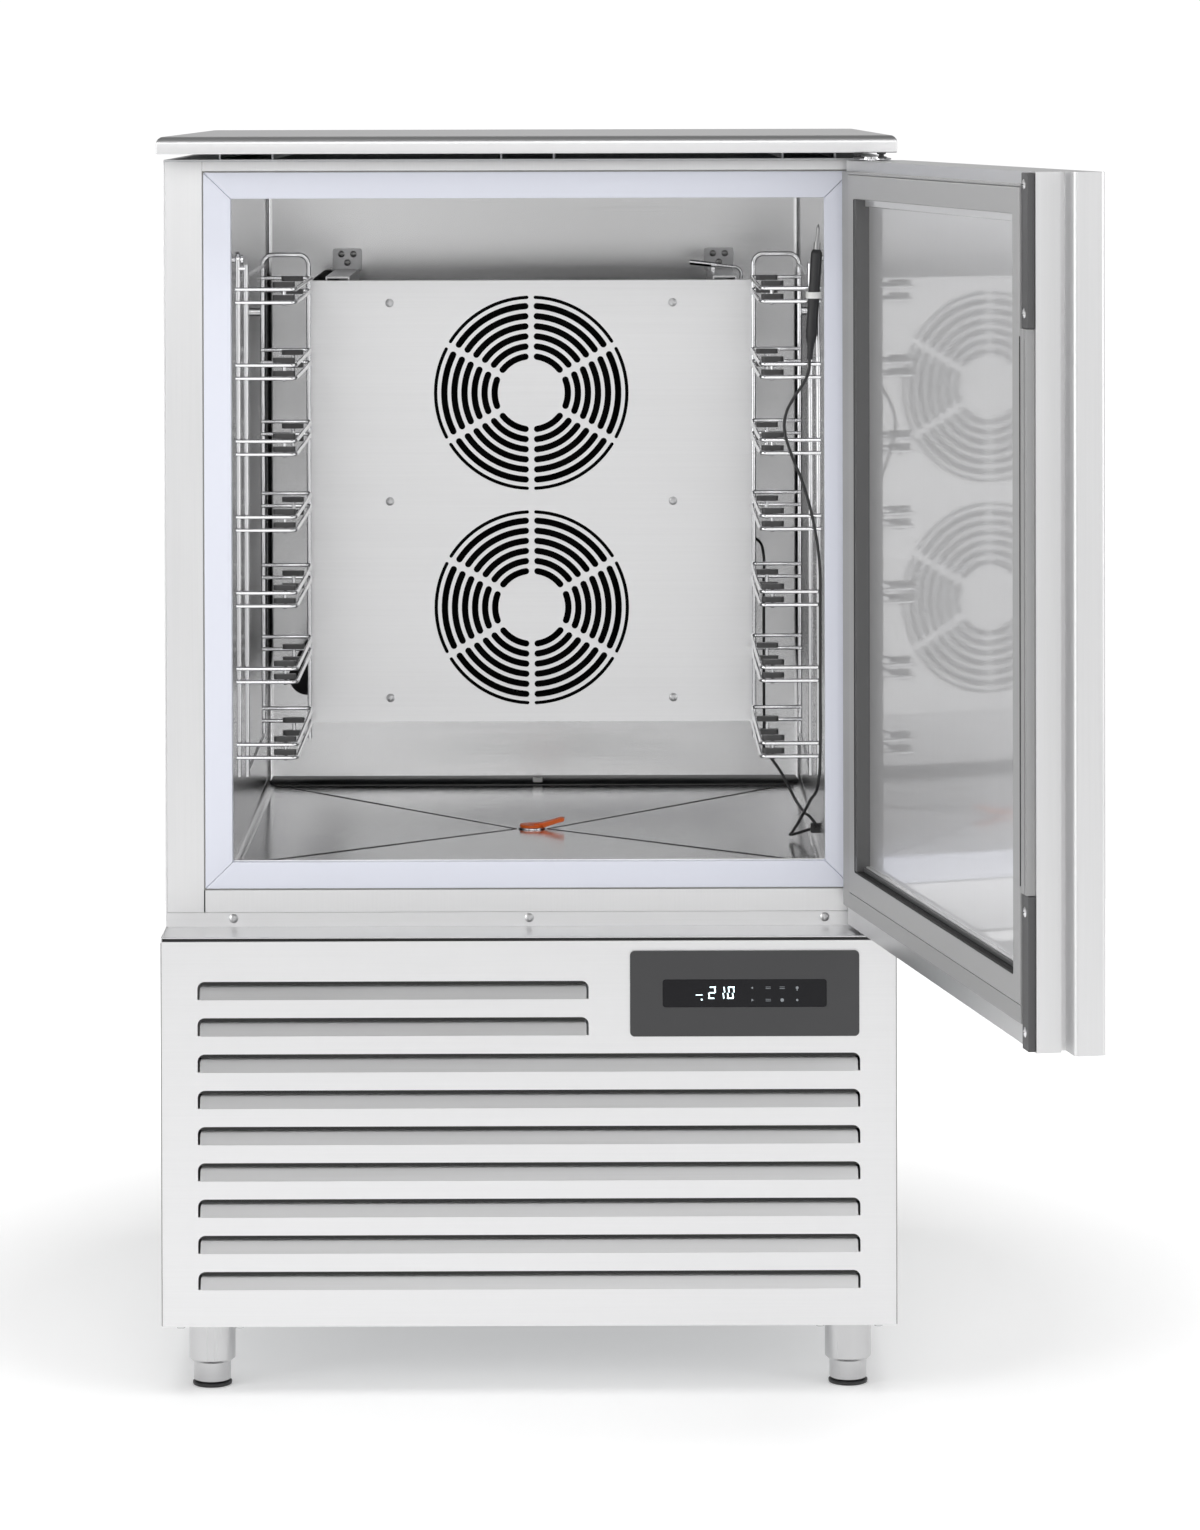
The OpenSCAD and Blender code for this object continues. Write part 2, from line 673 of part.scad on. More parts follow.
// Section points of one twisted blade at radius r: pitch falls and chord grows outwards.
function blade_ring(r, r0, r1, depth, span) =
    let (
        u = (r - r0) / (r1 - r0),
        half = span * (0.72 + 0.28 * u) / 2,
        t = 1.2,
        n = 5,
        front = [for (i = [0 : n]) let (s = i / n) [-half + 2 * half * s, depth * (s - 0.5) + 3 * sin(180 * s)]],
        back = [for (i = [n : -1 : 0]) [front[i].x, front[i].y + t]]
    )
    [for (p = concat(front, back)) [r * cos(p.x), r * sin(p.x), p.y]];

// One blade, lofted from the hub to the tip.
module blade(r0, r1, depth, span) {
    stations = 6;
    rings = [for (i = [0 : stations]) blade_ring(r0 + (r1 - r0) * i / stations, r0, r1, depth, span)];
    n = len(rings[0]);
    points = [for (ring = rings) each ring];
    walls = [for (i = [0 : stations - 1], j = [0 : n - 1]) each
        [[i * n + j, (i + 1) * n + (j + 1) % n, i * n + (j + 1) % n],
         [i * n + j, (i + 1) * n + j, (i + 1) * n + (j + 1) % n]]];
    first = [for (j = [0 : n - 1]) j];
    last = [for (j = [0 : n - 1]) stations * n + n - 1 - j];
    polyhedron(points, concat(walls, [first, last]));
}

// A fan facing the front: a hub cup, a shaft to the back and five blades.
module fan(tip_r, cup_r, depth, shaft_l, blades, span) {
    rotate([-90, 0, 0]) {
        translate([0, 0, -depth / 2]) cylinder(h = depth, r = cup_r);
        translate([0, 0, depth / 2 - over]) cylinder(h = shaft_l + over, r = shaft_r);
        for (i = [0 : blades - 1]) rotate([0, 0, i * 360 / blades])
            blade(cup_r - 2, tip_r, depth - 6, span);
    }
}

module evap_fan(z) {
    y = fan_plate_y - blade_depth / 2 + 4;
    translate([0, y, z]) fan(fan_r, hub_r, blade_depth, 28, 5, 50);
}

module evap_fan_upper() color("black") evap_fan(fan_z[0]);

module evap_fan_lower() color("black") evap_fan(fan_z[1]);

// Finned block with return bends at both ends, between two end plates.
module evap_coil() color("lightsteelblue") {
    fins = 52;
    fin_t = 1.6;
    x = coil_x - 4;
    z0 = cover_z0 + 22;
    z1 = cover_z1 - 14;
    tube_r = 5;
    rows = 8;
    row_pitch = (z1 - z0 - 60) / (rows - 1);
    translate([0, 0, z0]) linear_extrude(z1 - z0) {
        translate([-x, coil_y0 + 12]) square([2 * x, coil_y1 - coil_y0 - 24]);
        for (i = [0 : fins - 1])
            translate([-x + 4 + i * (2 * x - 8 - fin_t) / (fins - 1), coil_y0])
                square([fin_t, coil_y1 - coil_y0]);
    }
    for (s = [-1, 1]) {
        block([s * (x + 2) - 2, fan_plate_y + liner_t, z0 - 1.7], [s * (x + 2) + 2, coil_y1, z1 + 4]);
        for (i = [0 : rows - 1], c = [0, 1])
            translate([s * (x + 4), (coil_y0 + coil_y1) / 2 + (c - 0.5) * 50, z0 + 30 + i * row_pitch])
                rotate([0, 0, 90 + 90 * s]) mirror([1, 0, 0])
                    translate([0, -12, 0]) rotate_extrude(angle = 180, $fn = 32)
                        translate([12, 0]) circle(tube_r, $fn = 16);
    }
}

// Wall plates with channel arms that carry the evaporator from the back wall.
module evap_brackets() color("gainsboro") {
    z1 = cover_z1 + 29;
    for (s = [-1, 1]) {
        difference() {
            upright(wall_y - liner_t, liner_t)
                translate([s * bracket_x, z1 - 14]) round_rect(bracket_w, 28, 3);
            for (p = rivet_pos) translate([s * bracket_x + p.x, wall_y - 5, z1 + p.y])
                rotate([-90, 0, 0]) cylinder(h = 10, r = rivet_r + 0.1, $fn = 24);
        }
        difference() {
            block([s * bracket_x - 14, cover_y + cover_fold + 4, cover_z1 - 10],
                  [s * bracket_x + 14, wall_y - liner_t, cover_z1 + 4]);
            block([s * bracket_x - 12, cover_y + cover_fold + 2, cover_z1 - 11],
                  [s * bracket_x + 12, wall_y - 2 * liner_t, cover_z1 + 2]);
        }
    }
}

// Shallow tray under the coil that gathers its melt water.
module drip_tray() color("silver") {
    z0 = cover_z0 + 2;
    difference() {
        block([-coil_x - 8, fan_plate_y + 12, z0], [coil_x + 8, coil_y1 + 8, z0 + 18]);
        block([-coil_x - 6, fan_plate_y + 14, z0 + 2], [coil_x + 6, coil_y1 + 6, z0 + 19]);
        translate([0, coil_y1 - 30, z0 - over]) cylinder(h = 4, r = 8);
    }
}

// Foam sleeves on the two pipes that run from the back wall to the coil's left end.
module pipe_insulation() color("black") {
    low = cover_z0 + 48;
    high = cover_z1 - 6;
    thick = 22;
    thin = 9;
    thick_x = -cover_x - 8;
    rod([thick_x, wall_y, low], [thick_x, cover_y + 50, low], thick);
    translate([thick_x, cover_y + 50, low]) sphere(thick);
    rod([thick_x, cover_y + 50, low], [-coil_x - 0.2, cover_y + 50, low], thick - 4);
    thin_x = -bracket_x - 15 - thin;
    thin_y = cover_y + 62;
    bent_rod([[thin_x, wall_y, high], [thin_x, thin_y, high], [thin_x, thin_y, high - 90]], thin, 20);
    rod([thin_x, thin_y, high - 90], [-coil_x - 0.2, thin_y, high - 90], thin - 2);
    translate([thin_x, thin_y, high - 90]) sphere(thin);
}

// Air temperature sensor: a steel tube across the right arm, its lead going down beside it.
module temp_sensor() color("silver") {
    mid = [cover_x - 53, cover_y + 132, cover_z1 + 14.7];
    translate(mid) rotate([0, 6.2, 0]) {
        rod([-16, 0, 0], [16, 0, 0], 3);
        bent_rod([[14, 0, 0], [47, 0, 0], [47, 0, -45]], 2, 9);
    }
    block([bracket_x - 13, mid.y - 4, cover_z1 + 4.3], [bracket_x - 9, mid.y + 4, mid.z - 4.6]);
}

// Nine like screws: six in the evaporator's cover and three in the deck's upturned edge.
module panel_screws() color("gray") {
    for (sx = [-1, 1], z = cover_screw_z) translate([sx * cover_screw_x, cover_y, z]) screw(16);
    for (x = [-1, 0, 1] * sill_screw_x) translate([x, face_y - sheet_t, sill_screw_z]) screw(16);
}

rivet_r = 2;
rivet_pos = [[-7.4, -7], [7.4, -7], [0, -17.5]];

// Blind rivets through the bracket plates: a domed ring with a hole in the middle.
module bracket_rivets() color("gray") {
    z1 = cover_z1 + 29;
    for (s = [-1, 1], p = rivet_pos)
        translate([s * bracket_x + p.x, wall_y - liner_t, z1 + p.y])
            difference() {
                union() {
                    intersection() {
                        rotate([90, 0, 0]) cylinder(h = 1.6, r = 4, $fn = 32);
                        translate([0, 4.6, 0]) sphere(6.2, $fn = 48);
                    }
                    rotate([-90, 0, 0]) cylinder(h = liner_t, r = rivet_r, $fn = 24);
                }
                rotate([90, 0, 0]) translate([0, 0, -1]) cylinder(h = 4, r = 1.1, $fn = 24);
            }
}

// ---------------------------------------------------------------- racks

// Height of a level's upper wire, counted from the top.
function level_z(i) = top_level_z - i * level_pitch;

// One rack, drawn for the right side: uprights, and a pair of U-shaped wires per level.
module rack() {
    bend = 7;
    inner = back_rod_x[0];
    outer = back_rod_x[1];
    top_z = top_level_z + 27;
    bent_rod([[inner, rod_back_y, rack_bottom_z], [inner, rod_back_y, top_z],
              [outer, rod_back_y, top_z], [outer, rod_back_y, rack_bottom_z]], rod_r, 12);
    for (x = front_rod_x) rod([x, rod_front_y, rack_bottom_z], [x, rod_front_y, top_z], rod_r);
    for (z = [rack_bottom_z + 4, top_z - 13])
        rod([front_rod_x[0], rod_front_y, z], [outer, rod_back_y, z], rod_r - 0.2);
    bent_rod([[front_rod_x[1], rod_front_y, top_z], [front_rod_x[1], rod_front_y, top_z + 12],
              [front_rod_x[1], rod_front_y + 13, top_z + 12],
              [front_rod_x[1], rod_front_y + 13, top_z + 2]], rod_r, 6.4);
    rod([front_rod_x[0], rod_front_y, top_z - 4], [front_rod_x[1], rod_front_y, top_z - 4], rod_r - 0.2);
    for (i = [0 : levels - 1], dz = [0, wire_pair])
        bent_rod([[wall_x - 3.5, rack_y0, level_z(i) - dz], [runner_x, rack_y0, level_z(i) - dz],
                  [runner_x, rack_y1, level_z(i) - dz], [outer + 2, rack_y1, level_z(i) - dz]],
                 wire_r, bend);
}

// Stops that keep a tray from tipping: an oval pad over each wire, pinned in pairs.
module side_stops() {
    pad_l = 25;
    pad_w = 10;
    pad_t = 5.7;
    pin_x = runner_x + 13;
    for (i = [0 : levels - 1], y = [rack_y0 + 9, rack_y0 + 180]) {
        for (dz = [0, wire_pair])
            translate([runner_x + 1 + pad_l / 2, y, level_z(i) - dz + wire_r + 0.05])
                linear_extrude(pad_t) round_rect(pad_l, pad_w, pad_w / 2 - 0.01);
        rod([pin_x, y, level_z(i) - wire_pair - 4], [pin_x, y, level_z(i) + wire_r + 0.1], 2);
    }
}

module rack_stops() color("dimgray") {
    side_stops();
    mirror([1, 0, 0]) side_stops();
}

module rack_left() color("silver") mirror([1, 0, 0]) rack();

module rack_right() color("silver") rack();

// Headed studs on the chamber's walls that the racks' hooks hang on.
module rack_studs() color("silver") {
    stud_r = 3.3;
    z = top_level_z + 27 + 12 - rod_r - stud_r - 0.3;
    for (s = [-1, 1]) {
        translate([s * wall_x, rod_front_y + 6.5, z]) rotate([0, -90 * s, 0]) {
            cylinder(h = 10, r = stud_r);
            translate([0, 0, 9.5]) cylinder(h = 2, r = stud_r + 2.4);
        }
        translate([s * wall_x, rod_back_y, top_level_z - 40]) rotate([0, -90 * s, 0])
            cylinder(h = wall_x - back_rod_x[1] - rod_r - 0.2, r = 5);
    }
}

// ---------------------------------------------------------------- core probe

// Places a drawing whose Z runs down the hanging probe from its collar.
module on_probe() {
    translate(probe_top) rotate([0, 180 + probe_tilt, 0]) children();
}

module probe_spike() color("silver") on_probe() {
    translate([0, 0, -24]) cylinder(h = 18, r = 1.9, $fn = 32);
    translate([0, 0, -28]) cylinder(h = 4, r1 = 0.5, r2 = 1.9, $fn = 32);
    translate([0, 0, -8]) cylinder(h = 8, r = 3.8);
}

module probe_handle() color("black") on_probe() {
    cylinder(h = 4, r1 = 4.4, r2 = handle_r);
    translate([0, 0, 4]) cylinder(h = handle_l - 12, r = handle_r);
    translate([0, 0, handle_l - 8]) cylinder(h = 8, r1 = handle_r, r2 = 4.6);
}

// Ribbed strain relief at the lower end of the handle.
module probe_relief() color("black") on_probe() {
    translate([0, 0, handle_l]) cylinder(h = relief_l, r1 = 3.6, r2 = 2.6);
    for (i = [0 : 4]) translate([0, 0, handle_l + 1 + i * 3.4]) cylinder(h = 1.8, r = 4.1 - i * 0.2);
}

// White clip: one ring round the handle, one round the rack's front upright.
module probe_clip() color("white") {
    z0 = top_level_z - 11;
    hold = [probe_top.x - tan(probe_tilt) * (probe_top.z - z0 - 3.5), probe_y];
    up = [front_rod_x[0], rod_front_y];
    difference() {
        translate([0, 0, z0]) linear_extrude(7) {
            translate(hold) circle(handle_r + 2.2);
            translate(up) circle(rod_r + 2);
            polygon([hold + [-3, 0], hold + [3, 0], up + [3, 0], up + [-3, 0]]);
        }
        on_probe() cylinder(h = handle_l, r = handle_r + 0.05);
        translate([up.x, up.y, z0 - over]) cylinder(h = 7 + 2 * over, r = rod_r + 0.05);
    }
}

// A point of the cord: a uniform cubic through four neighbours of the route.
function smooth(p, u) =
    ((2 * p[1]) + (p[2] - p[0]) * u + (2 * p[0] - 5 * p[1] + 4 * p[2] - p[3]) * u * u
     + (3 * p[1] - p[0] - 3 * p[2] + p[3]) * u * u * u) / 2;

function route_at(i) = cord_route[max(0, min(len(cord_route) - 1, i))];

function cord_points() = concat(
    [for (i = [0 : len(cord_route) - 2], k = [0 : cord_steps - 1])
        smooth([route_at(i - 1), route_at(i), route_at(i + 1), route_at(i + 2)], k / cord_steps)],
    [cord_route[len(cord_route) - 1]]
);

// The probe's cord: one tube swept along the route.
module probe_cord() color("black") {
    path = cord_points();
    n = len(path);
    tangents = [for (i = [0 : n - 1]) unit(path[min(n - 1, i + 1)] - path[max(0, i - 1)])];
    points = [for (i = [0 : n - 1]) let (
            across = unit(cross(tangents[i], [0.31, 0.93, 0.17])),
            other = cross(tangents[i], across)
        ) for (k = [0 : cord_sides - 1])
            path[i] + cord_r * (cos(k * 360 / cord_sides) * across + sin(k * 360 / cord_sides) * other)];
    walls = [for (i = [0 : n - 2], k = [0 : cord_sides - 1]) each
        [[i * cord_sides + k, (i + 1) * cord_sides + k, (i + 1) * cord_sides + (k + 1) % cord_sides],
         [i * cord_sides + k, (i + 1) * cord_sides + (k + 1) % cord_sides, i * cord_sides + (k + 1) % cord_sides]]];
    first = [for (k = [0 : cord_sides - 1]) k];
    last = [for (k = [0 : cord_sides - 1]) (n - 1) * cord_sides + cord_sides - 1 - k];
    polyhedron(points, concat(walls, [first, last]));
}

// Clip on the wall near the floor, and the grommet in the coil's right end plate.
module cord_clips() color("black") {
    clip = cord_route[20];
    block([clip.x - 4, clip.y - 6, clip.z - 5], [wall_x, clip.y + 6, clip.z + 5]);
    last = cord_route[len(cord_route) - 1];
    rod([coil_x + 0.2, last.y, last.z], [coil_x + 7, last.y, last.z], 5);
}

// ---------------------------------------------------------------- machine compartment

riser_r = 6;
riser_in = 30;
riser_pos = [[-60, back_y - 50], [-20, back_y - 50]];
gland_r = 9;
gland_pos = [side_x - 100, back_y, tray_z + 60];
compressor_pos = [side_x - 240, back_y - 370];
compressor_h = machine_h - 199;

// Floor tray of the machine compartment, with an upturned rim.
module base_tray() color("silver") {
    rim = 22;
    difference() {
        block([-side_x + sheet_t, front_y + 26, tray_z],
              [side_x - sheet_t, back_y - sheet_t, tray_z + rim]);
        block([-side_x + 2 * sheet_t, front_y + 26 + sheet_t, tray_z + sheet_t],
              [side_x - 2 * sheet_t, back_y + over, tray_z + rim + over]);
    }
}

// Outline of one louvre's opening: a long slot with round upper corners.
module louvre_shape(x0, x1, h) {
    r = 8;
    translate([x0, 0]) square([x1 - x0, h - r]);
    translate([x0 + r, 0]) square([x1 - x0 - 2 * r, h]);
    for (x = [x0 + r, x1 - r]) translate([x, h - r]) circle(r);
}

function louvre_x1(i) = i < short_louvres ? short_end_x : side_x - louvre_edge;

// Lower front panel: folded edges, louvres bent inwards, and a window for the controls.
module front_panel() color("gainsboro") {
    x0 = -side_x + louvre_edge;
    side_gap = 2.4;
    fold = 20;
    window_w = bezel_w - 60;
    difference() {
        union() {
            block([-side_x, front_y, panel_z0], [side_x, front_y + sheet_t, panel_z1]);
            for (s = [-1, 1])
                block([s * (side_x - sheet_t * 1.5) - sheet_t / 2, front_y + sheet_t, panel_z0 + 30],
                      [s * (side_x - sheet_t * 1.5) + sheet_t / 2, front_y + fold, panel_z1]);
            block([-side_x + sheet_t, front_y + sheet_t, panel_z0],
                  [side_x - sheet_t, front_y + fold, panel_z0 + sheet_t]);
            block([-side_x + sheet_t, front_y + sheet_t, panel_z1 - sheet_t],
                  [side_x - sheet_t, front_y + fold, panel_z1]);
        }
        for (i = [0 : louvres - 1])
            upright(front_y - over, sheet_t + 2 * over)
                translate([0, louvre_z1 - louvre_h - i * louvre_pitch]) louvre_shape(x0, louvre_x1(i), louvre_h);
        block([bezel_x - window_w / 2, front_y - over, bezel_z - 28],
              [bezel_x + window_w / 2, front_y + sheet_t + over, bezel_z + 28]);
    }
    for (i = [0 : louvres - 1])
        translate([0, front_y, louvre_z1 - louvre_h - i * louvre_pitch]) rotate([-louvre_tilt, 0, 0])
            upright(0, sheet_t) translate([0, -0.6])
                louvre_shape(x0 + side_gap, louvre_x1(i) - side_gap, louvre_h - 0.4);
}

// Bezel of the controls, stuck on the panel, with the electronics' box behind it.
module control_bezel() color("dimgray") {
    difference() {
        upright(front_y - bezel_t, bezel_t) translate([bezel_x, bezel_z]) round_rect(bezel_w, bezel_h, 5);
        upright(front_y - bezel_t - over, 1.2 + over)
            translate([bezel_x, glass_z]) round_rect(glass_w + 0.4, glass_h + 0.4, 3.2);
    }
    block([bezel_x - bezel_w / 2 + 32, front_y, bezel_z - 26],
          [bezel_x + bezel_w / 2 - 32, front_y + 24, bezel_z + 26]);
}

// Black glass over the display and the touch keys.
module control_glass() color("black")
    upright(front_y - bezel_t + 0.2, 1) translate([bezel_x, glass_z]) round_rect(glass_w, glass_h, 3);

// Hermetic compressor: a domed pot on a foot plate with four rubber mounts.
module compressor() color("black") {
    r = 92;
    dome_r = 128;
    dome_drop = 120;
    foot_t = 4;
    z = tray_z + sheet_t + 12;
    translate([compressor_pos.x, compressor_pos.y, 0]) {
        intersection() {
            translate([0, 0, z]) cylinder(h = compressor_h, r = r, $fn = 64);
            union() {
                translate([0, 0, z + compressor_h - dome_drop]) sphere(dome_r, $fn = 96);
                translate([0, 0, z - over]) cylinder(h = compressor_h - dome_drop, r = dome_r - 2);
            }
        }
        translate([0, 0, z + 104]) cylinder(h = 8, r = r + 5, $fn = 64);
        translate([0, 0, z]) linear_extrude(foot_t) round_rect(214, 150, 12);
        for (sx = [-1, 1], sy = [-1, 1]) translate([sx * 93, sy * 60, tray_z + sheet_t])
            cylinder(h = 12 + over, r = 11);
        translate([-60, 0, z + compressor_h - 55]) cylinder(h = 60, r = 8.5);
        block([-35, r - 12, z + 60], [35, r + 34, z + 125]);
    }
}

// Condenser: a finned block between end plates with return bends.
module condenser_coil() color("lightslategray") {
    fins = 56;
    fin_t = 1.5;
    x0 = cond_x[0];
    x1 = cond_x[1];
    translate([0, 0, cond_z[0]]) linear_extrude(cond_z[1] - cond_z[0]) {
        translate([x0 + 2, cond_y[0] + 6]) square([x1 - x0 - 4, cond_y[1] - cond_y[0] - 12]);
        for (i = [0 : fins - 1])
            translate([x0 + 4 + i * (x1 - x0 - 8 - fin_t) / (fins - 1), cond_y[0]])
                square([fin_t, cond_y[1] - cond_y[0]]);
    }
    for (x = [x0, x1 - sheet_t])
        block([x, cond_y[0] - 2, tray_z + sheet_t], [x + sheet_t, cond_y[1], cond_z[1] + 4]);
    for (i = [0 : cond_rows - 1]) {
        z = cond_z[0] + 25 + i * cond_row_pitch;
        for (s = [-1, 1])
            translate([s < 0 ? x0 : x1, (cond_y[0] + cond_y[1]) / 2, z])
                rotate([0, 0, 90 + 90 * s]) mirror([1, 0, 0]) translate([0, -10, 0])
                    rotate_extrude(angle = 180, $fn = 32) translate([10, 0]) circle(4, $fn = 16);
    }
}

// Sheet shroud between the condenser and its fan.
module condenser_shroud() color("silver") {
    difference() {
        block([cond_x[0], cond_y[1], tray_z + sheet_t], [cond_x[1], cond_plate_y, cond_z[1] + 4]);
        block([cond_x[0] + 2, cond_y[1] - over, cond_z[0]],
              [cond_x[1] - 2, cond_plate_y - 2, cond_z[1] + 2]);
        translate([cond_mid[0], cond_plate_y - 6, cond_mid[1]])
            rotate([-90, 0, 0]) cylinder(h = 10, r = cond_fan_r + 6, $fn = 96);
    }
}

// Condenser fan motor on three arms that reach back to the shroud.
module condenser_motor() color("dimgray") {
    y0 = cond_plate_y + 36;
    translate([cond_mid[0], 0, cond_mid[1]])
        difference() {
            union() {
                translate([0, y0, 0]) rotate([-90, 0, 0]) cylinder(h = 70, r = 44);
                for (a = [90, 210, 330]) rotate([0, a, 0]) {
                    block([30, y0, -8], [cond_fan_r + 18, y0 + 4, 8]);
                    block([cond_fan_r + 10, cond_plate_y, -8], [cond_fan_r + 18, y0 + 4, 8]);
                }
            }
            translate([0, y0 - over, 0]) rotate([-90, 0, 0]) cylinder(h = 31, r = shaft_r + run_fit);
        }
}

module condenser_fan() color("gray")
    translate([cond_mid[0], cond_plate_y + 10, cond_mid[1]]) fan(cond_fan_r, 42, 44, 30, 5, 46);

// Copper pipes, the liquid receiver and the filter drier.
module refrigerant_pipes() color("chocolate") {
    cp = compressor_pos;
    coil_mid_y = (cond_y[0] + cond_y[1]) / 2;
    receiver = [riser_pos[0].x, back_y - 260];
    low_z = cond_z[0] + 25 + cond_row_pitch / 2;
    top_z = cond_z[1] - 25 - cond_row_pitch / 2;
    high_z = deck_z - 94;
    bent_rod([[cp.x, cp.y - 92.3, tray_z + 190], [cp.x, coil_mid_y, tray_z + 190],
              [cp.x, coil_mid_y, top_z], [cond_x[1] + 0.2, coil_mid_y, top_z]], 5, 18);
    bent_rod([[cond_x[1] + 0.2, coil_mid_y, low_z], [cond_x[1] + 34, coil_mid_y, low_z],
              [cond_x[1] + 34, cond_y[1] + 180, low_z], [receiver.x, cond_y[1] + 180, low_z],
              [receiver.x, receiver.y - 34, low_z]], 5, 18);
    translate([receiver.x, receiver.y, tray_z + sheet_t]) {
        intersection() {
            cylinder(h = 210, r = 36);
            translate([0, 0, 105]) sphere(110, $fn = 96);
        }
        cylinder(h = 6, r = 40);
    }
    bent_rod([[receiver.x, receiver.y, tray_z + 205], [receiver.x, receiver.y, tray_z + 260],
              [receiver.x, riser_pos[0].y, tray_z + 260], [receiver.x, riser_pos[0].y, deck_z + riser_in]],
             5, 18);
    rod([receiver.x, receiver.y + 50, tray_z + 260], [receiver.x, receiver.y + 140, tray_z + 260], 14);
    bent_rod([[riser_pos[1].x, riser_pos[1].y, deck_z + riser_in],
              [riser_pos[1].x, riser_pos[1].y, high_z], [riser_pos[1].x, cp.y, high_z],
              [cp.x - 60, cp.y, high_z], [cp.x - 60, cp.y, tray_z + compressor_h + 19.3]], riser_r, 22);
}

// Switch box with the cable gland that passes through the back panel.
module electrical_box() color("lightgray") {
    difference() {
        union() {
            translate([gland_pos.x, back_y - 80, tray_z + sheet_t])
                linear_extrude(230) round_rect(160, 130, 8);
            translate([gland_pos.x, back_y - 20, gland_pos.z]) rotate([-90, 0, 0]) {
                cylinder(h = 28, r = gland_r);
                translate([0, 0, 20.3]) cylinder(h = 7, r = gland_r + 4, $fn = 6);
            }
        }
        translate([gland_pos.x, back_y - 6, gland_pos.z]) rotate([-90, 0, 0]) cylinder(h = 20, r = 5.5);
    }
}

// ---------------------------------------------------------------- feet

foot_places = [[-1, -1], [1, -1], [-1, 1], [1, 1]];
sleeve_z = leg_show + 4;
plate_t = 3;

// The four fixed sleeves, each with a plate and four bolts under the floor tray.
module foot_sleeves() color("silver") {
    bolt_at = 32;
    for (p = foot_places) translate([p.x * foot_x, p.y * foot_y, 0])
        difference() {
            union() {
                translate([0, 0, sleeve_z + 3]) cylinder(h = tray_z - sleeve_z - 3, r = sleeve_r);
                translate([0, 0, sleeve_z]) cylinder(h = 3, r1 = sleeve_r - 3, r2 = sleeve_r);
                translate([0, 0, tray_z - plate_t]) linear_extrude(plate_t) round_rect(82, 82, 6);
                for (sx = [-1, 1], sy = [-1, 1]) translate([sx * bolt_at, sy * bolt_at, tray_z - plate_t - 4])
                    cylinder(h = 5, r = 4.6);
            }
            translate([0, 0, sleeve_z - over]) cylinder(h = tray_z - sleeve_z - 2, r = leg_r + clear);
        }
}

// One sliding leg with its moulded pad.
module foot(p) {
    pad_h = 4.5;
    pad_r = leg_r + 1;
    translate([p.x * foot_x, p.y * foot_y, 0]) {
        cylinder(h = pad_h, r = pad_r);
        translate([0, 0, pad_h]) cylinder(h = 2, r1 = leg_r - 3, r2 = leg_r);
        translate([0, 0, pad_h + 2]) cylinder(h = tray_z - plate_t - pad_h - 7, r = leg_r);
    }
}

module foot_front_left() color("silver") foot(foot_places[0]);

module foot_front_right() color("silver") foot(foot_places[1]);

module foot_rear_left() color("silver") foot(foot_places[2]);

module foot_rear_right() color("silver") foot(foot_places[3]);

// ---------------------------------------------------------------- door

// Turns what is drawn for the closed door to where the door stands.
module opened() {
    translate([pivot.x, pivot.y, 0]) rotate([0, 0, door_open]) translate([-pivot.x, -pivot.y, 0]) children();
}

// Plates fixed to the cabinet above and below the door, each with a hinge pin.
hinge_t = 3;
pin_l = 22;

module hinge_brackets() color("silver") {
    top_z = door_z1 + 1;
    for (z = [deck_z, top_z]) {
        block([pivot.x - 14, pivot.y, z], [pivot.x + 14, face_y - sheet_t, z + hinge_t]);
        translate([pivot.x, pivot.y, z]) cylinder(h = hinge_t, r = 14);
    }
    block([pivot.x - 14, face_y - sheet_t - over, top_z], [pivot.x + 14, face_y, top_z + hinge_t]);
    block([pivot.x - 14, face_y - over, roof_z], [pivot.x + 14, face_y + 50, top_z + hinge_t]);
    translate([pivot.x, pivot.y, deck_z + hinge_t - over]) cylinder(h = pin_l + over, r = pin_r);
    translate([pivot.x, pivot.y, top_z - pin_l]) cylinder(h = pin_l + over, r = pin_r);
}

// Bushes pressed into the door's ends, which turn on the pins.
module hinge_bushes() color("ivory") {
    bush_l = pin_l + 2;
    for (z = [door_z0, door_z1 - bush_l]) translate([pivot.x, pivot.y, z])
        difference() {
            cylinder(h = bush_l, r = pin_r + 4);
            translate([0, 0, -over]) cylinder(h = bush_l + 2 * over, r = pin_r + run_fit);
        }
}

// Plan of the door: a wide outer slab with the grip, a groove, and a narrower inner slab.
module door_plan(inset) {
    r = 4;
    y0 = front_y + inset;
    difference() {
        union() {
            translate([grip_x + inset, y0]) square([door_x1 - grip_x - 2 * inset, slab_out - 2 * inset]);
            translate([groove_x + inset, y0])
                square([door_x1 - groove_x - 2 * inset, slab_out + groove_d + slab_in - 2 * inset]);
            translate([slab_x0 + inset, groove_y + inset])
                square([door_x1 - slab_x0 - 2 * inset, slab_in - 2 * inset]);
        }
        if (inset == 0) for (y = [front_y, slab_y]) {
            s = y == front_y ? 1 : -1;
            translate([grip_x, y]) difference() {
                translate([-over, s > 0 ? -over : -r]) square([r + over, r + over]);
                translate([r, s * r]) circle(r);
            }
        }
    }
}

// The pan pressed into the inner face, as a block to cut.
module door_pan(grow) {
    rim = 8;
    x = open_x - rim + grow;
    block([-x, inner_y - pan_d - grow, sill_z + rim - grow], [x, inner_y + over, lintel_z - rim + grow]);
}

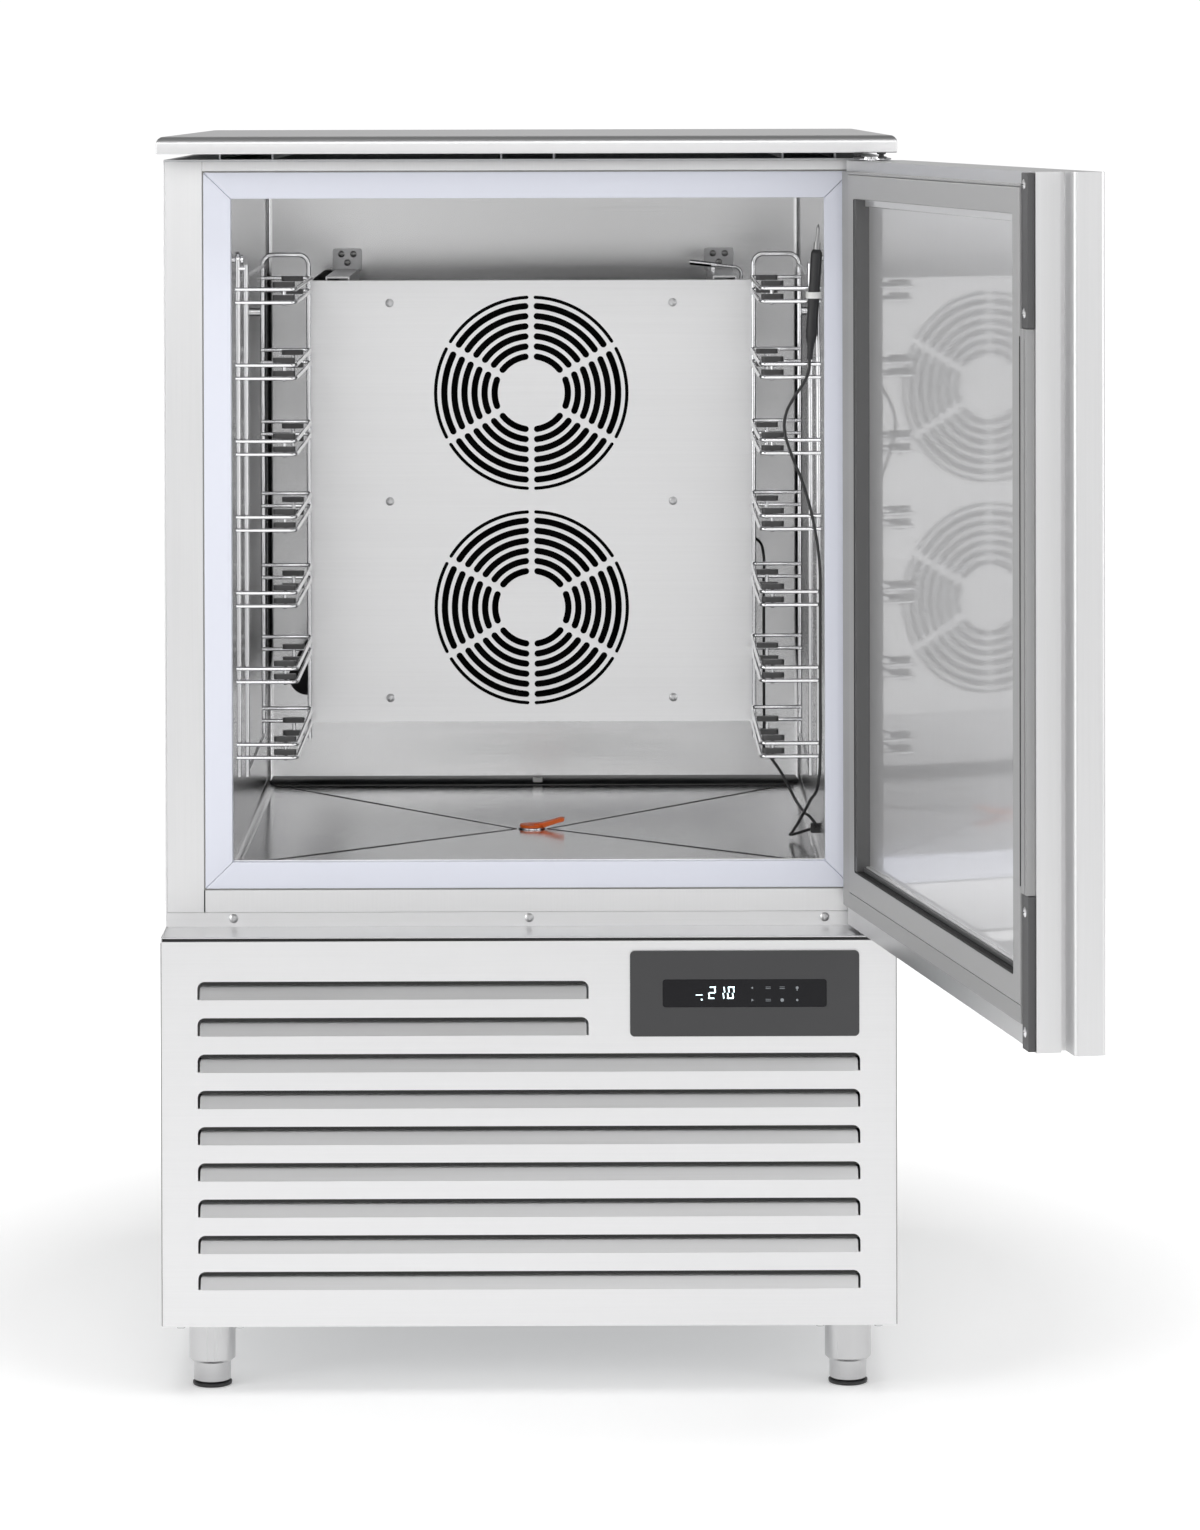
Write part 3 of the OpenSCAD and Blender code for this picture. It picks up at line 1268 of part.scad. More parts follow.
// Outer skin: sheet all round, with the inner face left open inside a rim.
module door_skin() color("gainsboro") opened() {
    difference() {
        translate([0, 0, door_z0]) linear_extrude(door_z1 - door_z0) door_plan(0);
        translate([0, 0, door_z0 + skin_t]) linear_extrude(door_z1 - door_z0 - 2 * skin_t) door_plan(skin_t);
        block([-gasket_x, inner_y - 3 * skin_t, gasket_z0], [gasket_x, inner_y + over, gasket_z1]);
        for (z = [door_z0, door_z1]) translate([pivot.x, pivot.y, z - 3]) cylinder(h = 6, r = pin_r + 4);
        for (p = plate_screws) translate([p.x, inner_y - 3, p.y])
            rotate([-90, 0, 0]) cylinder(h = 6, r = screw_r + 0.1, $fn = 24);
    }
}

// Foam that fills the door.
module door_core() color("khaki") opened() {
    difference() {
        translate([0, 0, door_z0 + skin_t]) linear_extrude(door_z1 - door_z0 - 2 * skin_t) door_plan(skin_t);
        door_pan(skin_t);
        block([-gasket_x, inner_y - 2 * skin_t, gasket_z0], [gasket_x, inner_y + over, gasket_z1]);
        for (z = [door_z0 - 1, door_z1 - pin_l - 2]) translate([pivot.x, pivot.y, z])
            cylinder(h = pin_l + 3, r = pin_r + 4);
        for (p = plate_screws) translate([p.x, inner_y - 12, p.y])
            rotate([-90, 0, 0]) cylinder(h = 16, r = screw_r + 0.1, $fn = 24);
    }
}

// Inner pan of polished sheet: a rim under the gasket and a shallow pressed middle.
module door_liner() color("lightgray") opened() {
    difference() {
        union() {
            block([-gasket_x, inner_y - 2 * skin_t, gasket_z0], [gasket_x, inner_y - skin_t, gasket_z1]);
            door_pan_wall();
        }
        door_pan(0);
    }
}

module door_pan_wall() {
    intersection() {
        door_pan(skin_t);
        block([-side_x, inner_y - pan_d - 2 * skin_t, 0], [side_x, inner_y - skin_t, cab_h]);
    }
}

// Gasket: a soft ring with a waist all round its outside, pressed on the frame when the door shuts.
module door_gasket() color("dimgray") opened() {
    base_y = inner_y - skin_t;
    lip = 4;
    difference() {
        block([-gasket_x, base_y, gasket_z0], [gasket_x, gasket_y, gasket_z1]);
        block([-gasket_x + gasket_w, base_y - over, gasket_z0 + gasket_w],
              [gasket_x - gasket_w, gasket_y + over, gasket_z1 - gasket_w]);
        difference() {
            block([-gasket_x - over, base_y + 5, gasket_z0 - over], [gasket_x + over, base_y + 7, gasket_z1 + over]);
            block([-gasket_x + lip, base_y, gasket_z0 + lip], [gasket_x - lip, gasket_y, gasket_z1 - lip]);
        }
    }
}

// Dark profile that holds the gasket; the edge plates take its place at the free side's ends.
module door_trim() color("dimgray") opened() {
    gap = 0.5;
    difference() {
        block([trim_x[0], inner_y, trim_z[0]], [trim_x[1], inner_y + trim_d, trim_z[1]]);
        block([-gasket_x - gap, inner_y - over, gasket_z0 - gap],
              [gasket_x + gap, inner_y + trim_d + over, gasket_z1 + gap]);
        block([trim_x[0] - over, inner_y - over, 0],
              [-gasket_x - 1, inner_y + trim_d + over, door_z0 + 1 + plate_l + gap]);
        block([trim_x[0] - over, inner_y - over, door_z1 - 1 - plate_l - gap],
              [-gasket_x - 1, inner_y + trim_d + over, cab_h]);
        block([trim_x[0] + 6, inner_y + trim_d - 2, door_z0 + plate_l],
              [trim_x[0] + 9, inner_y + trim_d + over, door_z1 - plate_l]);
    }
}

plate_l = 148;
plate_w = 22;
edge_plate_t = 7.3;
plate_x = slab_x0 + plate_w / 2 + 2.5;
plate_screws = [for (z = [door_z0 + 18.5, door_z0 + 133, door_z1 - 135, door_z1 - 12]) [plate_x, z]];

// Dark plates on the free edge of the inner face, at the top and the bottom.
module door_edge_plates() color("black") opened()
    for (z = [door_z0 + 1, door_z1 - plate_l - 1])
        difference() {
            block([plate_x - plate_w / 2, inner_y, z], [plate_x + plate_w / 2, inner_y + edge_plate_t, z + plate_l]);
            for (p = plate_screws) translate([p.x, inner_y - 3, p.y])
                rotate([-90, 0, 0]) cylinder(h = 16, r = screw_r + 0.1, $fn = 24);
        }

// The four screws of the edge plates.
module door_screws() color("silver") opened()
    for (p = plate_screws) translate([p.x, inner_y + edge_plate_t, p.y]) rotate([0, 0, 180]) screw(edge_plate_t + 8);

worktop();
roof_panel();
side_panel_left();
side_panel_right();
back_panel();
front_fascia();
machine_deck();
breaker_frame();
insulation();
liner_shell();
liner_floor();
drain_fitting();
drain_plug();
evap_panel();
evap_fan_plate();
evap_fan_motors();
evap_fan_upper();
evap_fan_lower();
evap_coil();
evap_brackets();
drip_tray();
pipe_insulation();
temp_sensor();
panel_screws();
bracket_rivets();
rack_left();
rack_right();
rack_stops();
rack_studs();
probe_spike();
probe_handle();
probe_relief();
probe_clip();
probe_cord();
cord_clips();
base_tray();
front_panel();
control_bezel();
control_glass();
compressor();
condenser_coil();
condenser_shroud();
condenser_motor();
condenser_fan();
refrigerant_pipes();
electrical_box();
foot_sleeves();
foot_front_left();
foot_front_right();
foot_rear_left();
foot_rear_right();
hinge_brackets();
hinge_bushes();
door_skin();
door_core();
door_liner();
door_gasket();
door_trim();
door_edge_plates();
door_screws();
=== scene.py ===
"""Looks of the blast chiller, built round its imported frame. Metres; X right, Y back, Z up."""
from __future__ import annotations

import logging
import math
from contextlib import contextmanager
from dataclasses import dataclass
from enum import Enum
from functools import cache
from typing import Callable, Iterator, Sequence

import bpy
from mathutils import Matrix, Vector


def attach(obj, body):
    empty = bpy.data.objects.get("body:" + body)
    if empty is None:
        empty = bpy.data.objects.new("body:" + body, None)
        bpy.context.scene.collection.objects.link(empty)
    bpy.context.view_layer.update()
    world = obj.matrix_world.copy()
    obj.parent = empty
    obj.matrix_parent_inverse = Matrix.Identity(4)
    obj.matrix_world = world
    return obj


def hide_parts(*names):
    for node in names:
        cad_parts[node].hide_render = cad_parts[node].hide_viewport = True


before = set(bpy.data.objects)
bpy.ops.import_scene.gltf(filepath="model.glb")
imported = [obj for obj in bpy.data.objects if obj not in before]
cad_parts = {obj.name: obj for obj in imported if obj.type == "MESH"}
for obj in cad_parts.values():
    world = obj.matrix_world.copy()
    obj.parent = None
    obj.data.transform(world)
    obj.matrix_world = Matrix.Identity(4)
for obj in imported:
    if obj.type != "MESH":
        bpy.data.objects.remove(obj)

logging.basicConfig(level=logging.INFO, format="%(levelname)s %(name)s: %(message)s")
LOG = logging.getLogger("chiller")

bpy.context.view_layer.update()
Point = tuple[float, float, float]
Ring = tuple[float, float]

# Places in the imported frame.
HINGE = (0.376, -0.3705, 0.0)  # axis of the door's pins
DOOR_OPEN = math.radians(100.4)  # how far the photographed door stands open
WALL_X = 0.327  # chamber side of the right wall, and with a minus of the left one
WALL_Y = 0.335  # chamber side of the rear wall
FACE_Y = -0.337  # front of the fascia
FRONT_Y = -0.410  # front of the lower panel
FLOOR_Z = 0.566  # edge of the chamber floor
FALL_Z = 0.558  # chamber floor at the drain
TOP_LEVEL = 1.200  # highest tray level
LEVEL_PITCH = 0.084  # height between two tray levels
LEVELS = 7

# Cleaning and shading of meshes; angles in degrees.
MERGE_REACH = 2e-6
WELD_REACH = 1e-5
FLAT_ANGLE = 0.4
ROUND_ANGLE = 40.0
SMOOTH_ANGLE = 35.0
TUBE_SMOOTH = 60.0
COVE_SMOOTH = 50.0
FACE_WEIGHT = 100

# Shape of a cove: its width as a share of the strip's, its steps and how far it bulges.
COVE_SHARE = 0.97
COVE_STEPS = 6
COVE_PROFILE = 0.08

# Noises of the finishes.
BRUSH_SIZE = 6.0
NOISE_DETAIL = 3.0
NOISE_RANGE = (0.3, 0.7)
GRIT_DETAIL = 2.0
GRIT_DEPTH = 0.0006
LEAST_ROUGHNESS = 0.02
COAT_ROUGHNESS = 0.05


class Body(Enum):
    """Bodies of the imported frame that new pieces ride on."""

    CABINET = "cabinet"
    DOOR = "door"
    PLUG = "plug"
    LEG_FL = "front_left_leg"
    LEG_FR = "front_right_leg"
    LEG_RL = "rear_left_leg"
    LEG_RR = "rear_right_leg"


class Grain(Enum):
    """Direction in which a sheet is brushed, as a stretch of the noise along X, Y and Z."""

    NONE = (1.0, 1.0, 1.0)
    ALONG_X = (1.0, 85.0, 85.0)
    ALONG_Y = (85.0, 1.0, 85.0)
    ALONG_Z = (85.0, 85.0, 1.0)


# ---------------------------------------------------------------- finishes


def put(node: bpy.types.Node, values: dict[str | int, object]) -> None:
    """Sets inputs of a node.

    Args:
        node: The node.
        values: Value of each input, by its name or number.
    """
    for socket, value in values.items():
        node.inputs[socket].default_value = value


class Tree:
    """Node tree of a material or of the world."""

    def __init__(self, owner: bpy.types.Material | bpy.types.World) -> None:
        """Opens the node tree.

        Args:
            owner: The material or the world.
        """
        owner.use_nodes = True
        self.nodes = owner.node_tree.nodes
        self._links = owner.node_tree.links

    def add(
        self, kind: str, values: dict[str | int, object] | None = None, operation: str = ""
    ) -> bpy.types.Node:
        """Adds a node.

        Args:
            kind: Its type, without the leading "ShaderNode".
            values: Value of each input that is set, by its name or number.
            operation: What it works out, where it is a math node.

        Returns:
            The new node.
        """
        node = self.nodes.new("ShaderNode" + kind)
        if operation:
            node.operation = operation
        put(node, values or {})
        return node

    def link(self, source: bpy.types.NodeSocket, target: bpy.types.NodeSocket) -> None:
        """Links an output to an input.

        Args:
            source: The output.
            target: The input.
        """
        self._links.new(source, target)


@dataclass(frozen=True)
class Finish:
    """One surface finish, made of procedural nodes only.

    Brushing changes the colour by the streak and the roughness by the spread. Mottle and bumps are
    the strengths of a cloudy colour and of a rough surface, and their sizes are noise scales.
    """

    name: str
    colour: tuple[float, float, float]
    metallic: float = 0.0
    roughness: float = 0.5
    grain: Grain = Grain.NONE
    streak: float = 0.0
    spread: float = 0.0
    mottle: float = 0.0
    mottle_size: float = 30.0
    bumps: float = 0.0
    bump_size: float = 300.0
    coat: float = 0.0
    coat_ior: float = 1.5
    glow: float = 0.0
    specular: float = 0.5
    slot: str = "casing"

    def build(self) -> bpy.types.Material:
        """Makes the material.

        Returns:
            The new material.
        """
        mat = bpy.data.materials.new(self.name)
        tree = Tree(mat)
        shader = tree.nodes["Principled BSDF"]
        put(shader, {
            "Base Color": (*self.colour, 1.0),
            "Metallic": self.metallic,
            "Roughness": self.roughness,
            "Specular IOR Level": self.specular,
        })
        if self.coat:
            put(shader, {
                "Coat Weight": self.coat,
                "Coat Roughness": COAT_ROUGHNESS,
                "Coat IOR": self.coat_ior,
            })
        if self.glow:
            put(shader, {"Emission Color": (*self.colour, 1.0), "Emission Strength": self.glow})
        if not (self.streak or self.spread or self.mottle or self.bumps):
            return mat
        coords = tree.add("TexCoord")
        if self.mottle:
            cloud = self._noise(tree, coords, Grain.NONE, self.mottle_size, NOISE_DETAIL)
            self._tint(tree, cloud, shader, self.mottle)
        if self.spread or self.streak:
            brush = self._noise(tree, coords, self.grain, BRUSH_SIZE, NOISE_DETAIL)
            rough = tree.add("MapRange", {
                "From Min": NOISE_RANGE[0],
                "From Max": NOISE_RANGE[1],
                "To Min": max(LEAST_ROUGHNESS, self.roughness - self.spread),
                "To Max": self.roughness + self.spread,
            })
            tree.link(brush.outputs["Fac"], rough.inputs["Value"])
            tree.link(rough.outputs["Result"], shader.inputs["Roughness"])
            if self.streak:
                self._tint(tree, brush, shader, self.streak)
        if self.bumps:
            grit = self._noise(tree, coords, Grain.NONE, self.bump_size, GRIT_DETAIL)
            bump = tree.add("Bump", {"Strength": self.bumps, "Distance": GRIT_DEPTH})
            tree.link(grit.outputs["Fac"], bump.inputs["Height"])
            tree.link(bump.outputs["Normal"], shader.inputs["Normal"])
        return mat

    @staticmethod
    def _noise(
        tree: Tree, coords: bpy.types.Node, grain: Grain, size: float, detail: float
    ) -> bpy.types.Node:
        """Adds a noise in object coordinates, stretched along the grain.

        Args:
            tree: Node tree of the material.
            coords: Texture coordinate node.
            grain: Direction of the stretch.
            size: Scale of the noise.
            detail: Detail of the noise.

        Returns:
            The noise node.
        """
        place = tree.add("Mapping", {"Scale": grain.value})
        noise = tree.add("TexNoise", {"Scale": size, "Detail": detail})
        tree.link(coords.outputs["Object"], place.inputs["Vector"])
        tree.link(place.outputs["Vector"], noise.inputs["Vector"])
        return noise

    def _tint(
        self, tree: Tree, source: bpy.types.Node, shader: bpy.types.Node, share: float
    ) -> None:
        """Makes the colour lighter and darker with a noise.

        Args:
            tree: Node tree of the material.
            source: Noise node.
            shader: Shader that takes the colour.
            share: Largest change, as a share of the colour.
        """
        tint = tree.add("MapRange", {"To Min": 1.0 - share, "To Max": 1.0 + share})
        scale = tree.add("VectorMath", {0: self.colour}, operation="SCALE")
        tree.link(source.outputs["Fac"], tint.inputs["Value"])
        tree.link(tint.outputs["Result"], scale.inputs["Scale"])
        tree.link(scale.outputs["Vector"], shader.inputs["Base Color"])


STEEL = (0.79, 0.79, 0.795)
CASING = Finish("casing steel", STEEL, 1.0, 0.38, Grain.ALONG_X, 0.03, 0.03)
CASING_UP = Finish("upright steel", STEEL, 1.0, 0.38, Grain.ALONG_Z, 0.03, 0.03)
CASING_Y = Finish("side steel", STEEL, 1.0, 0.38, Grain.ALONG_Y, 0.03, 0.03)
LINER = Finish(
    "liner steel", (0.85, 0.85, 0.855), 1.0, 0.23, Grain.ALONG_X, 0.03, 0.015, slot="liner"
)
FLOOR = Finish(
    "floor steel", (0.74, 0.74, 0.745), 1.0, 0.17, Grain.ALONG_X, 0.05, 0.05, slot="liner"
)
COVER = Finish(
    "cover steel", (0.82, 0.82, 0.825), 1.0, 0.34, Grain.ALONG_X, 0.03, 0.03, slot="liner"
)
# The door pan's glow is painted light that brightens it beyond what the lamps give.
GLOWING_PAN = Finish(
    "door pan steel with painted glow", (0.97, 0.97, 0.975), 1.0, 0.40, Grain.ALONG_Z, 0.02, 0.02,
    coat=1.0, coat_ior=1.9, glow=0.09, slot="liner",
)
SHEET = Finish("plain sheet", (0.66, 0.67, 0.68), 1.0, 0.42, Grain.ALONG_X, 0.05, 0.05, slot="sheet")
BRIGHT = Finish("bright wire", (0.80, 0.80, 0.81), 1.0, 0.09, slot="bright")
BRACKET = Finish("bracket steel", (0.60, 0.60, 0.605), 1.0, 0.30, slot="bright")
RIVET = Finish("rivet steel", (0.34, 0.34, 0.34), 1.0, 0.28, slot="bright")
LEGS = Finish("leg steel", (0.58, 0.58, 0.585), 1.0, 0.24, Grain.ALONG_Z, 0.04, 0.04, slot="legs")
FRAME = Finish("pale frame", (0.80, 0.82, 0.91), 0.0, 0.42, slot="frame")
FOAM = Finish("foam", (0.40, 0.39, 0.37), 0.0, 0.9, mottle=0.08, bumps=0.5, slot="foam")
GASKET = Finish("gasket rubber", (0.40, 0.40, 0.402), 0.0, 0.45, slot="dark_rubber")
TRIM = Finish("grey profile", (0.36, 0.36, 0.362), 0.0, 0.40, slot="dark_plastic")
PLATE = Finish("dark plate", (0.085, 0.085, 0.087), 0.0, 0.45, slot="dark_plastic")
BLACK = Finish("black plastic", (0.020, 0.020, 0.021), 0.0, 0.45, slot="dark_plastic")
# Black fans. On the evaporator's fan plate and motors, the black is painted shade behind the guards.
FAN_BLACK_AND_SHADE = Finish("black fan and painted shade", (0.006, 0.006, 0.006), 0.0, 0.65, specular=0.05, slot="dark_plastic")
BEZEL = Finish(
    "charcoal bezel", (0.048, 0.048, 0.050), 0.0, 0.55, bumps=0.15, bump_size=900.0,
    slot="dark_plastic",
)
PAD = Finish("grey pad", (0.055, 0.055, 0.056), 0.0, 0.35, slot="dark_plastic")
CORD = Finish("black cord", (0.02, 0.02, 0.021), 0.0, 0.5, slot="dark_rubber")
SLEEVE = Finish(
    "black pipe foam", (0.012, 0.012, 0.013), 0.0, 0.85, bumps=0.5, bump_size=160.0,
    slot="dark_rubber",
)
ORANGE = Finish(
    "orange rubber", (0.80, 0.13, 0.01), 0.0, 0.38, mottle=0.12, mottle_size=80.0, slot="plug"
)
WHITE = Finish("white plastic", (0.82, 0.82, 0.80), 0.0, 0.4, slot="white_plastic")
GLASS = Finish("black glass", (0.006, 0.006, 0.008), 0.0, 0.22, specular=0.25, slot="glass")
FINS = Finish("fin aluminium", (0.72, 0.74, 0.76), 1.0, 0.4, slot="fins")
# Painted shade: the evaporator's fins are drawn near black behind the guards.
FINS_IN_SHADE = Finish("fins in painted shade", (0.020, 0.020, 0.021), 0.0, 0.7, specular=0.1, slot="fins")
POT = Finish("black pot", (0.015, 0.015, 0.016), 0.0, 0.35, coat=0.3, slot="black_paint")
COPPER = Finish("copper", (0.72, 0.36, 0.22), 1.0, 0.3, mottle=0.1, slot="copper")
# Painted shade: dark strips along the bent outer edges of the lower front panel.
FOLD_SHADE = Finish("painted fold shade", (0.32, 0.32, 0.32), 1.0, 0.45)
# Painted shade: a dark strip standing for the door pan's side walls, which lie in shade.
RIM_SHADE = Finish("painted rim shade", (0.085, 0.085, 0.086), 0.0, 0.4, slot="dark_rubber")
# Black strips: painted shade in the gaps over the lower panel, between gasket and pan and under the
# louvres' edges. The lines on the door's free edge use it too.
LINE = Finish("black line", (0.008, 0.008, 0.008), 0.0, 0.6, slot="dark_rubber")
# Painted shade: dark lines along the chamber floor's creases.
CREASE_SHADE = Finish("crease", (0.30, 0.30, 0.30), 1.0, 0.3, slot="liner")
SHADE = Finish("shaded steel", (0.16, 0.16, 0.16), 1.0, 0.35, slot="liner")
DIGIT = Finish("digits", (0.72, 0.95, 1.0), 0.0, 0.5, glow=2.2, slot="glass")
ICON = Finish("icons", (0.26, 0.28, 0.30), 0.0, 0.5, glow=0.08, slot="glass")


@cache
def material(finish: Finish) -> bpy.types.Material:
    """Gives the material of a finish, made once.

    Args:
        finish: The finish.

    Returns:
        Its material.
    """
    return finish.build()


# ---------------------------------------------------------------- modelling helpers


def only(obj: bpy.types.Object) -> None:
    """Selects one object and makes it active.

    Args:
        obj: The object.
    """
    bpy.ops.object.select_all(action="DESELECT")
    obj.select_set(True)
    bpy.context.view_layer.objects.active = obj


@contextmanager
def editing(obj: bpy.types.Object, everything: bool = True) -> Iterator[None]:
    """Edit mode on one object.

    Args:
        obj: The object.
        everything: Whether all of the mesh starts out selected.

    Yields:
        Nothing.
    """
    only(obj)
    bpy.ops.object.mode_set(mode="EDIT")
    if everything:
        bpy.ops.mesh.select_all(action="SELECT")
    yield
    bpy.ops.object.mode_set(mode="OBJECT")


def settle(obj: bpy.types.Object) -> bpy.types.Object:
    """Puts an object's place, turn and scale into its mesh.

    Args:
        obj: The object.

    Returns:
        The same object.
    """
    only(obj)
    bpy.ops.object.transform_apply(location=True, rotation=True, scale=True)
    return obj


def box(name: str, lo: Point, hi: Point) -> bpy.types.Object:
    """Adds a box between two corners.

    Args:
        name: Name of the piece.
        lo: Lowest corner.
        hi: Highest corner.

    Returns:
        The new object.
    """
    bpy.ops.object.select_all(action="DESELECT")
    middle = [(a + b) / 2 for a, b in zip(lo, hi)]
    bpy.ops.mesh.primitive_cube_add(size=1.0, location=middle)
    obj = bpy.context.object
    obj.name = name
    obj.scale = [b - a for a, b in zip(lo, hi)]
    return settle(obj)


def turned(name: str, at: Point, rings: Sequence[Ring], sides: int) -> bpy.types.Object:
    """Builds an upright turned piece by extruding a disc and scaling each ring.

    Args:
        name: Name of the piece.
        at: Foot of its axis.
        rings: Radius and height of each ring.
        sides: Number of sides.

    Returns:
        The new object.
    """
    bpy.ops.object.select_all(action="DESELECT")
    radius, height = rings[0]
    bpy.ops.mesh.primitive_circle_add(
        vertices=sides, radius=radius, fill_type="NGON", location=(0, 0, height)
    )
    obj = bpy.context.object
    obj.name = name
    settle(obj)
    with editing(obj):
        for r, h in rings[1:]:
            bpy.ops.mesh.extrude_region_move(TRANSFORM_OT_translate={"value": (0, 0, h - height)})
            bpy.ops.transform.resize(value=(r / radius, r / radius, 1.0))
            radius, height = r, h
        bpy.ops.mesh.select_all(action="SELECT")
        bpy.ops.mesh.normals_make_consistent(inside=False)
    obj.location = at
    return settle(obj)


def modified(obj: bpy.types.Object, kind: str, **settings: object) -> bpy.types.Object:
    """Applies one modifier to an object.

    Args:
        obj: The object.
        kind: Type of the modifier.
        **settings: What its settings are set to.

    Returns:
        The same object.
    """
    only(obj)
    modifier = obj.modifiers.new(kind.lower(), kind)
    for name, value in settings.items():
        setattr(modifier, name, value)
    bpy.ops.object.modifier_apply(modifier=modifier.name)
    return obj


def smooth(obj: bpy.types.Object, angle: float = SMOOTH_ANGLE) -> bpy.types.Object:
    """Shades an object smooth, but for its sharp edges.

    Args:
        obj: The object.
        angle: Angle above which an edge stays sharp, in degrees.

    Returns:
        The same object.
    """
    only(obj)
    bpy.ops.object.shade_smooth_by_angle(angle=math.radians(angle))
    return obj


def rounded(obj: bpy.types.Object, width: float, segments: int = 2) -> bpy.types.Object:
    """Rounds an object's sharp edges and shades it, so that flat sheets stay flat up to them.

    Args:
        obj: The object.
        width: Width of the rounding.
        segments: Number of steps.

    Returns:
        The same object.
    """
    modified(
        obj,
        "BEVEL",
        width=width,
        segments=segments,
        limit_method="ANGLE",
        angle_limit=math.radians(ROUND_ANGLE),
        miter_outer="MITER_ARC" if segments > 2 else "MITER_SHARP",
        loop_slide=False,
    )
    return modified(smooth(obj), "WEIGHTED_NORMAL", weight=FACE_WEIGHT, keep_sharp=True)


def joined(name: str, parts: Sequence[bpy.types.Object]) -> bpy.types.Object:
    """Joins several objects into one.

    Args:
        name: Name of the result.
        parts: The objects.

    Returns:
        The joined object.
    """
    bpy.ops.object.select_all(action="DESELECT")
    for part in parts:
        part.select_set(True)
    bpy.context.view_layer.objects.active = parts[0]
    bpy.ops.object.join()
    parts[0].name = name
    return parts[0]


def swept(
    name: str, points: Sequence[Point], radius: float, sides: int, steps: int
) -> bpy.types.Object:
    """Sweeps a round section along a smooth line through the points, closed at both ends.

    Args:
        name: Name of the piece.
        points: Points of the line.
        radius: Radius of the section.
        sides: Resolution of the section.
        steps: Steps between two points.

    Returns:
        The new curve object.
    """
    bpy.ops.object.select_all(action="DESELECT")
    bpy.ops.curve.primitive_bezier_curve_add(location=(0, 0, 0))
    obj = bpy.context.object
    obj.name = name
    spline = obj.data.splines[0]
    spline.bezier_points.add(len(points) - len(spline.bezier_points))
    for knot, place in zip(spline.bezier_points, points):
        knot.handle_left_type = knot.handle_right_type = "AUTO"
        knot.co = place
    obj.data.resolution_u = steps
    obj.data.bevel_depth = radius
    obj.data.bevel_resolution = sides
    obj.data.use_fill_caps = True
    return obj


def rod(name: str, start: Point, end: Point, radius: float) -> bpy.types.Object:
    """Builds a thin straight rod between two points.

    Args:
        name: Name of the piece.
        start: Middle of its one end.
        end: Middle of its other end.
        radius: Radius of the rod.

    Returns:
        The new mesh object.
    """
    obj = swept(name, (start, end), radius, sides=1, steps=1)
    bpy.ops.object.convert(target="MESH")
    with editing(obj):
        bpy.ops.mesh.remove_doubles(threshold=WELD_REACH)
        bpy.ops.mesh.normals_make_consistent(inside=False)
    return smooth(obj, TUBE_SMOOTH)


def pick_edges(obj: bpy.types.Object, wanted: Callable[[Vector], bool]) -> None:
    """Selects the edges whose two ends both pass a test, and nothing else.

    Args:
        obj: The object, in object mode.
        wanted: Test of a vertex's place.
    """
    mesh = obj.data
    keep = [wanted(v.co) for v in mesh.vertices]
    for face in mesh.polygons:
        face.select = False
    for vertex in mesh.vertices:
        vertex.select = keep[vertex.index]
    for edge in mesh.edges:
        edge.select = keep[edge.vertices[0]] and keep[edge.vertices[1]]


def cove(name: str, lo: Point, hi: Point, free: tuple[int, int, int]) -> bpy.types.Object:
    """Builds a hollow-rounded strip for an inside corner.

    Args:
        name: Name of the piece.
        lo: Lowest corner of its box.
        hi: Highest corner of its box.
        free: Which end of each axis the free edge is at: 0 along the strip, else -1 or 1.

    Returns:
        The strip.
    """
    obj = box(name, lo, hi)
    across = [i for i in range(3) if free[i]]
    ends = [hi[i] if free[i] > 0 else lo[i] for i in range(3)]
    wide = min(hi[i] - lo[i] for i in across)
    pick_edges(obj, lambda co: all(abs(co[i] - ends[i]) < WELD_REACH for i in across))
    bpy.context.tool_settings.mesh_select_mode = (False, True, False)
    with editing(obj, everything=False):
        bpy.ops.mesh.bevel(
            offset=wide * COVE_SHARE, segments=COVE_STEPS, profile=COVE_PROFILE, affect="EDGES"
        )
    bpy.context.tool_settings.mesh_select_mode = (True, False, False)
    return smooth(obj, COVE_SMOOTH)


def open_door(obj: bpy.types.Object) -> bpy.types.Object:
    """Turns a piece drawn on the closed door to where the door stands.

    Args:
        obj: The object.

    Returns:
        The same object.
    """
    with editing(obj):
        bpy.ops.transform.rotate(value=-DOOR_OPEN, orient_axis="Z", center_override=HINGE)
    return obj


# ---------------------------------------------------------------- dressed nodes


@dataclass
class Piece:
    """A finished piece: what it is made of, what it rides on and which nodes it stands for."""

    obj: bpy.types.Object
    finish: Finish
    body: Body = Body.CABINET
    nodes: tuple[str, ...] = ()

    def place(self) -> None:
        """Gives the piece its finish and body, and hides the nodes it stands for."""
        mesh = self.obj.data
        mesh.materials.clear()
        mesh.materials.append(material(self.finish))
        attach(self.obj, self.body.value)
        if self.nodes:
            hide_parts(*self.nodes)
        LOG.info("%s: %d faces, %s", self.obj.name, len(mesh.polygons), self.finish.name)


